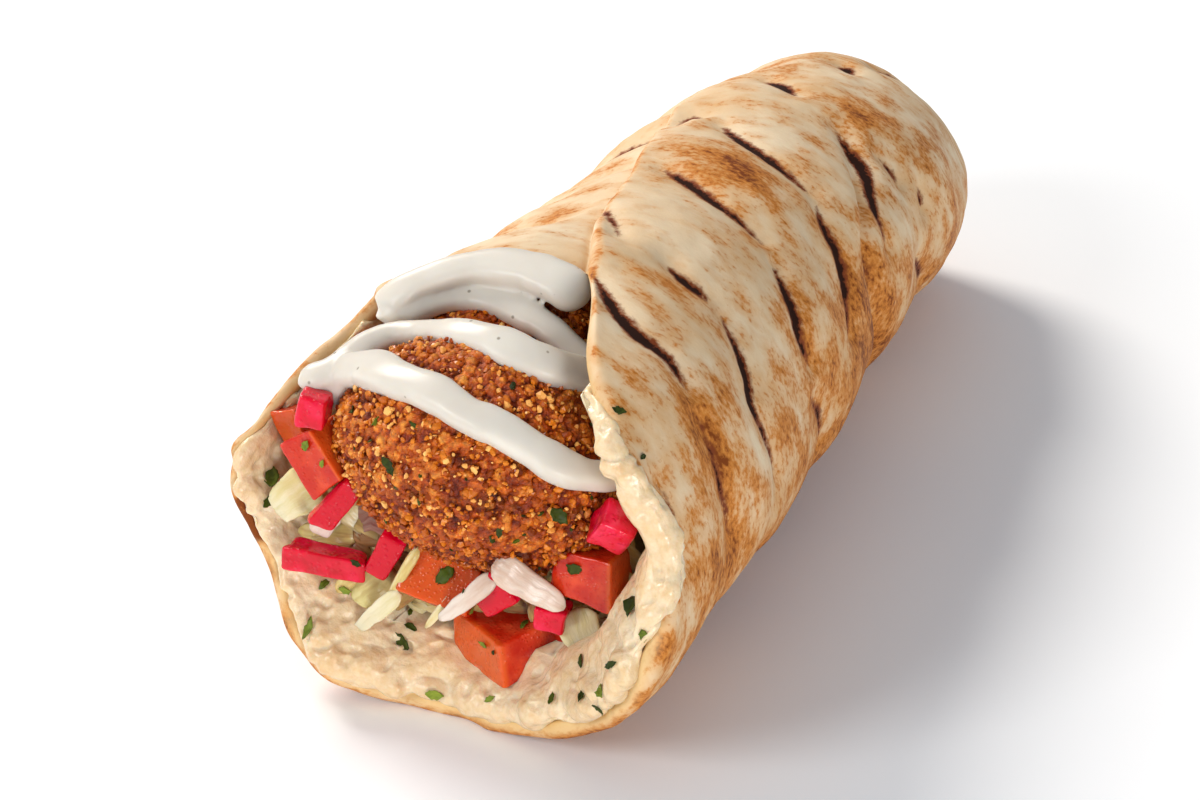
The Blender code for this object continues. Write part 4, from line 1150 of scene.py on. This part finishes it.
def herbs(targets, random):
    """Chopped parsley on the food: each flake lies where its line of sight first meets a piece."""
    graph = bpy.context.evaluated_depsgraph_get()
    trees = [BVHTree.FromObject(piece, graph) for piece in targets]
    eye = Vector((CAMERA_TARGET + SHIFT + VIEW_BACK * CAMERA_DISTANCE) * MM)
    seats, normals, sizes = [], [], []
    for x, z, size in FLAKES:
        through_point = Vector((np.array((x, FLAKE_PLANE, z)) + SHIFT) * MM)
        way = (through_point - eye).normalized()
        hits = [tree.ray_cast(eye, way) for tree in trees]
        hits = [hit for hit in hits if hit[0] is not None]
        if not hits:
            continue
        hit = min(hits, key=lambda found: found[3])
        seats.append(np.array(hit[0]) / MM - SHIFT)
        normals.append(np.array(hit[1]) if hit[1].dot(way) < 0 else -np.array(hit[1]))
        sizes.append(1.08 * size)
    seats, normals, sizes = np.array(seats), np.array(normals), np.array(sizes)
    top, bottom = leaf_bits(sizes, random)
    count, rows, columns = top.shape[:3]
    spin = random.uniform(0, 2 * np.pi, count)
    side = np.cross(normals, np.stack([np.cos(spin), np.zeros(count), np.sin(spin)], -1))
    side /= np.linalg.norm(side, axis=1)[:, None]
    other = np.cross(normals, side)
    basis = np.stack([side, other, normals], 1)
    blocks = np.stack([top, bottom], 1).reshape(count, -1, 3)
    points = np.einsum("nij,njk->nik", blocks, basis) + (seats + normals * 0.25)[:, None]
    half = rows * columns
    quads = grid_faces(rows, columns)
    border = np.concatenate([np.arange(columns), np.arange(1, rows) * columns + columns - 1,
                             (rows - 1) * columns + np.arange(columns - 2, -1, -1),
                             np.arange(rows - 2, 0, -1) * columns])
    rim = np.stack([border, half + border, half + np.roll(border, -1), np.roll(border, -1)], -1)
    one = np.vstack([quads, half + quads[:, ::-1], rim])
    every = (one[None] + np.arange(count)[:, None, None] * 2 * half).reshape(-1, 4)
    tint = np.repeat(random.uniform(0, 0.8, count), 2 * half) + random.uniform(0, 0.2, count * 2 * half)
    add_piece("parsley_flakes", points.reshape(-1, 3), [every], herb_look(), "salad", tint=tint)


# -- stage ---------------------------------------------------------------------------------------

CAMERA_AZIMUTH = 22.1        # round from -Y towards +X
CAMERA_HEIGHT = 28.0         # above the horizon
CAMERA_DISTANCE = 530.0
CAMERA_TARGET = np.array((0.0, 0.0, 28.0))
CAMERA_LENS = 94.04
CAMERA_SHIFT = (-0.0579, -0.0559)
VIEW_BACK = np.array((sin(radians(CAMERA_AZIMUTH)) * cos(radians(CAMERA_HEIGHT)),
                      -cos(radians(CAMERA_AZIMUTH)) * cos(radians(CAMERA_HEIGHT)),
                      sin(radians(CAMERA_HEIGHT))))
FLAKE_PLANE = -90.0          # station of the plane that the flakes' places are given on


def camera():
    """Looks down the roll from its mouth, over the flap's side."""
    back = Vector(VIEW_BACK)
    right = Vector((cos(radians(CAMERA_AZIMUTH)), sin(radians(CAMERA_AZIMUTH)), 0))
    place = Matrix((right, right.cross(-back), back)).transposed().to_4x4()
    place.translation = Vector((CAMERA_TARGET + SHIFT + VIEW_BACK * CAMERA_DISTANCE) * MM)
    data = bpy.data.cameras.new("camera")
    data.lens = CAMERA_LENS
    data.sensor_width = 36
    data.shift_x, data.shift_y = CAMERA_SHIFT
    made = bpy.data.objects.new("camera", data)
    made.matrix_world = place
    bpy.context.scene.collection.objects.link(made)
    bpy.context.scene.camera = made


def area_light(name, place, size, power, colour="#FFFFFF"):
    """Soft box at a place in metres, looking at the wrap's middle."""
    data = bpy.data.lights.new(name, "AREA")
    data.shape = "DISK"
    data.size = size
    data.energy = power
    data.color = shade(colour)[:3]
    made = bpy.data.objects.new(name, data)
    made.location = place
    made.rotation_euler = (Vector((0, 0, 0.03)) - Vector(place)).to_track_quat("-Z", "Y").to_euler()
    bpy.context.scene.collection.objects.link(made)


def stage():
    """White table, pale surround and a soft key from the far left."""
    mesh = bpy.data.meshes.new("table")
    half = 3.0
    mesh.from_pydata([(-half, -half, 0), (half, -half, 0), (half, half, 0), (-half, half, 0)], [],
                     [(0, 1, 2, 3)])
    mesh.materials.append(table_look())
    table = bpy.data.objects.new("table", mesh)
    bpy.context.scene.collection.objects.link(table)
    table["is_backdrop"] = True
    world = bpy.data.worlds.new("studio")
    world.use_nodes = True
    world.node_tree.nodes["Background"].inputs["Color"].default_value = shade("#ECF4FF")
    world.node_tree.nodes["Background"].inputs["Strength"].default_value = 0.41
    bpy.context.scene.world = world
    area_light("key", (-1.0, 0.48, 1.0), 0.60, 19, "#FFF6EC")
    area_light("front", (-0.80, -1.30, 0.90), 0.7, 12.5)
    area_light("side", (0.90, -1.05, 0.19), 0.35, 8.5)
    bpy.context.scene.view_settings.view_transform = "Standard"


SHIFT = drawing_shift()
random = np.random.default_rng(11)
camera()
stage()
flatbread()
hummus()
salad_core()
shreds(random)
strips()
dice()
falafels(random)
drizzle()
herbs([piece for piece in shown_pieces() if piece.type == "MESH"], random)
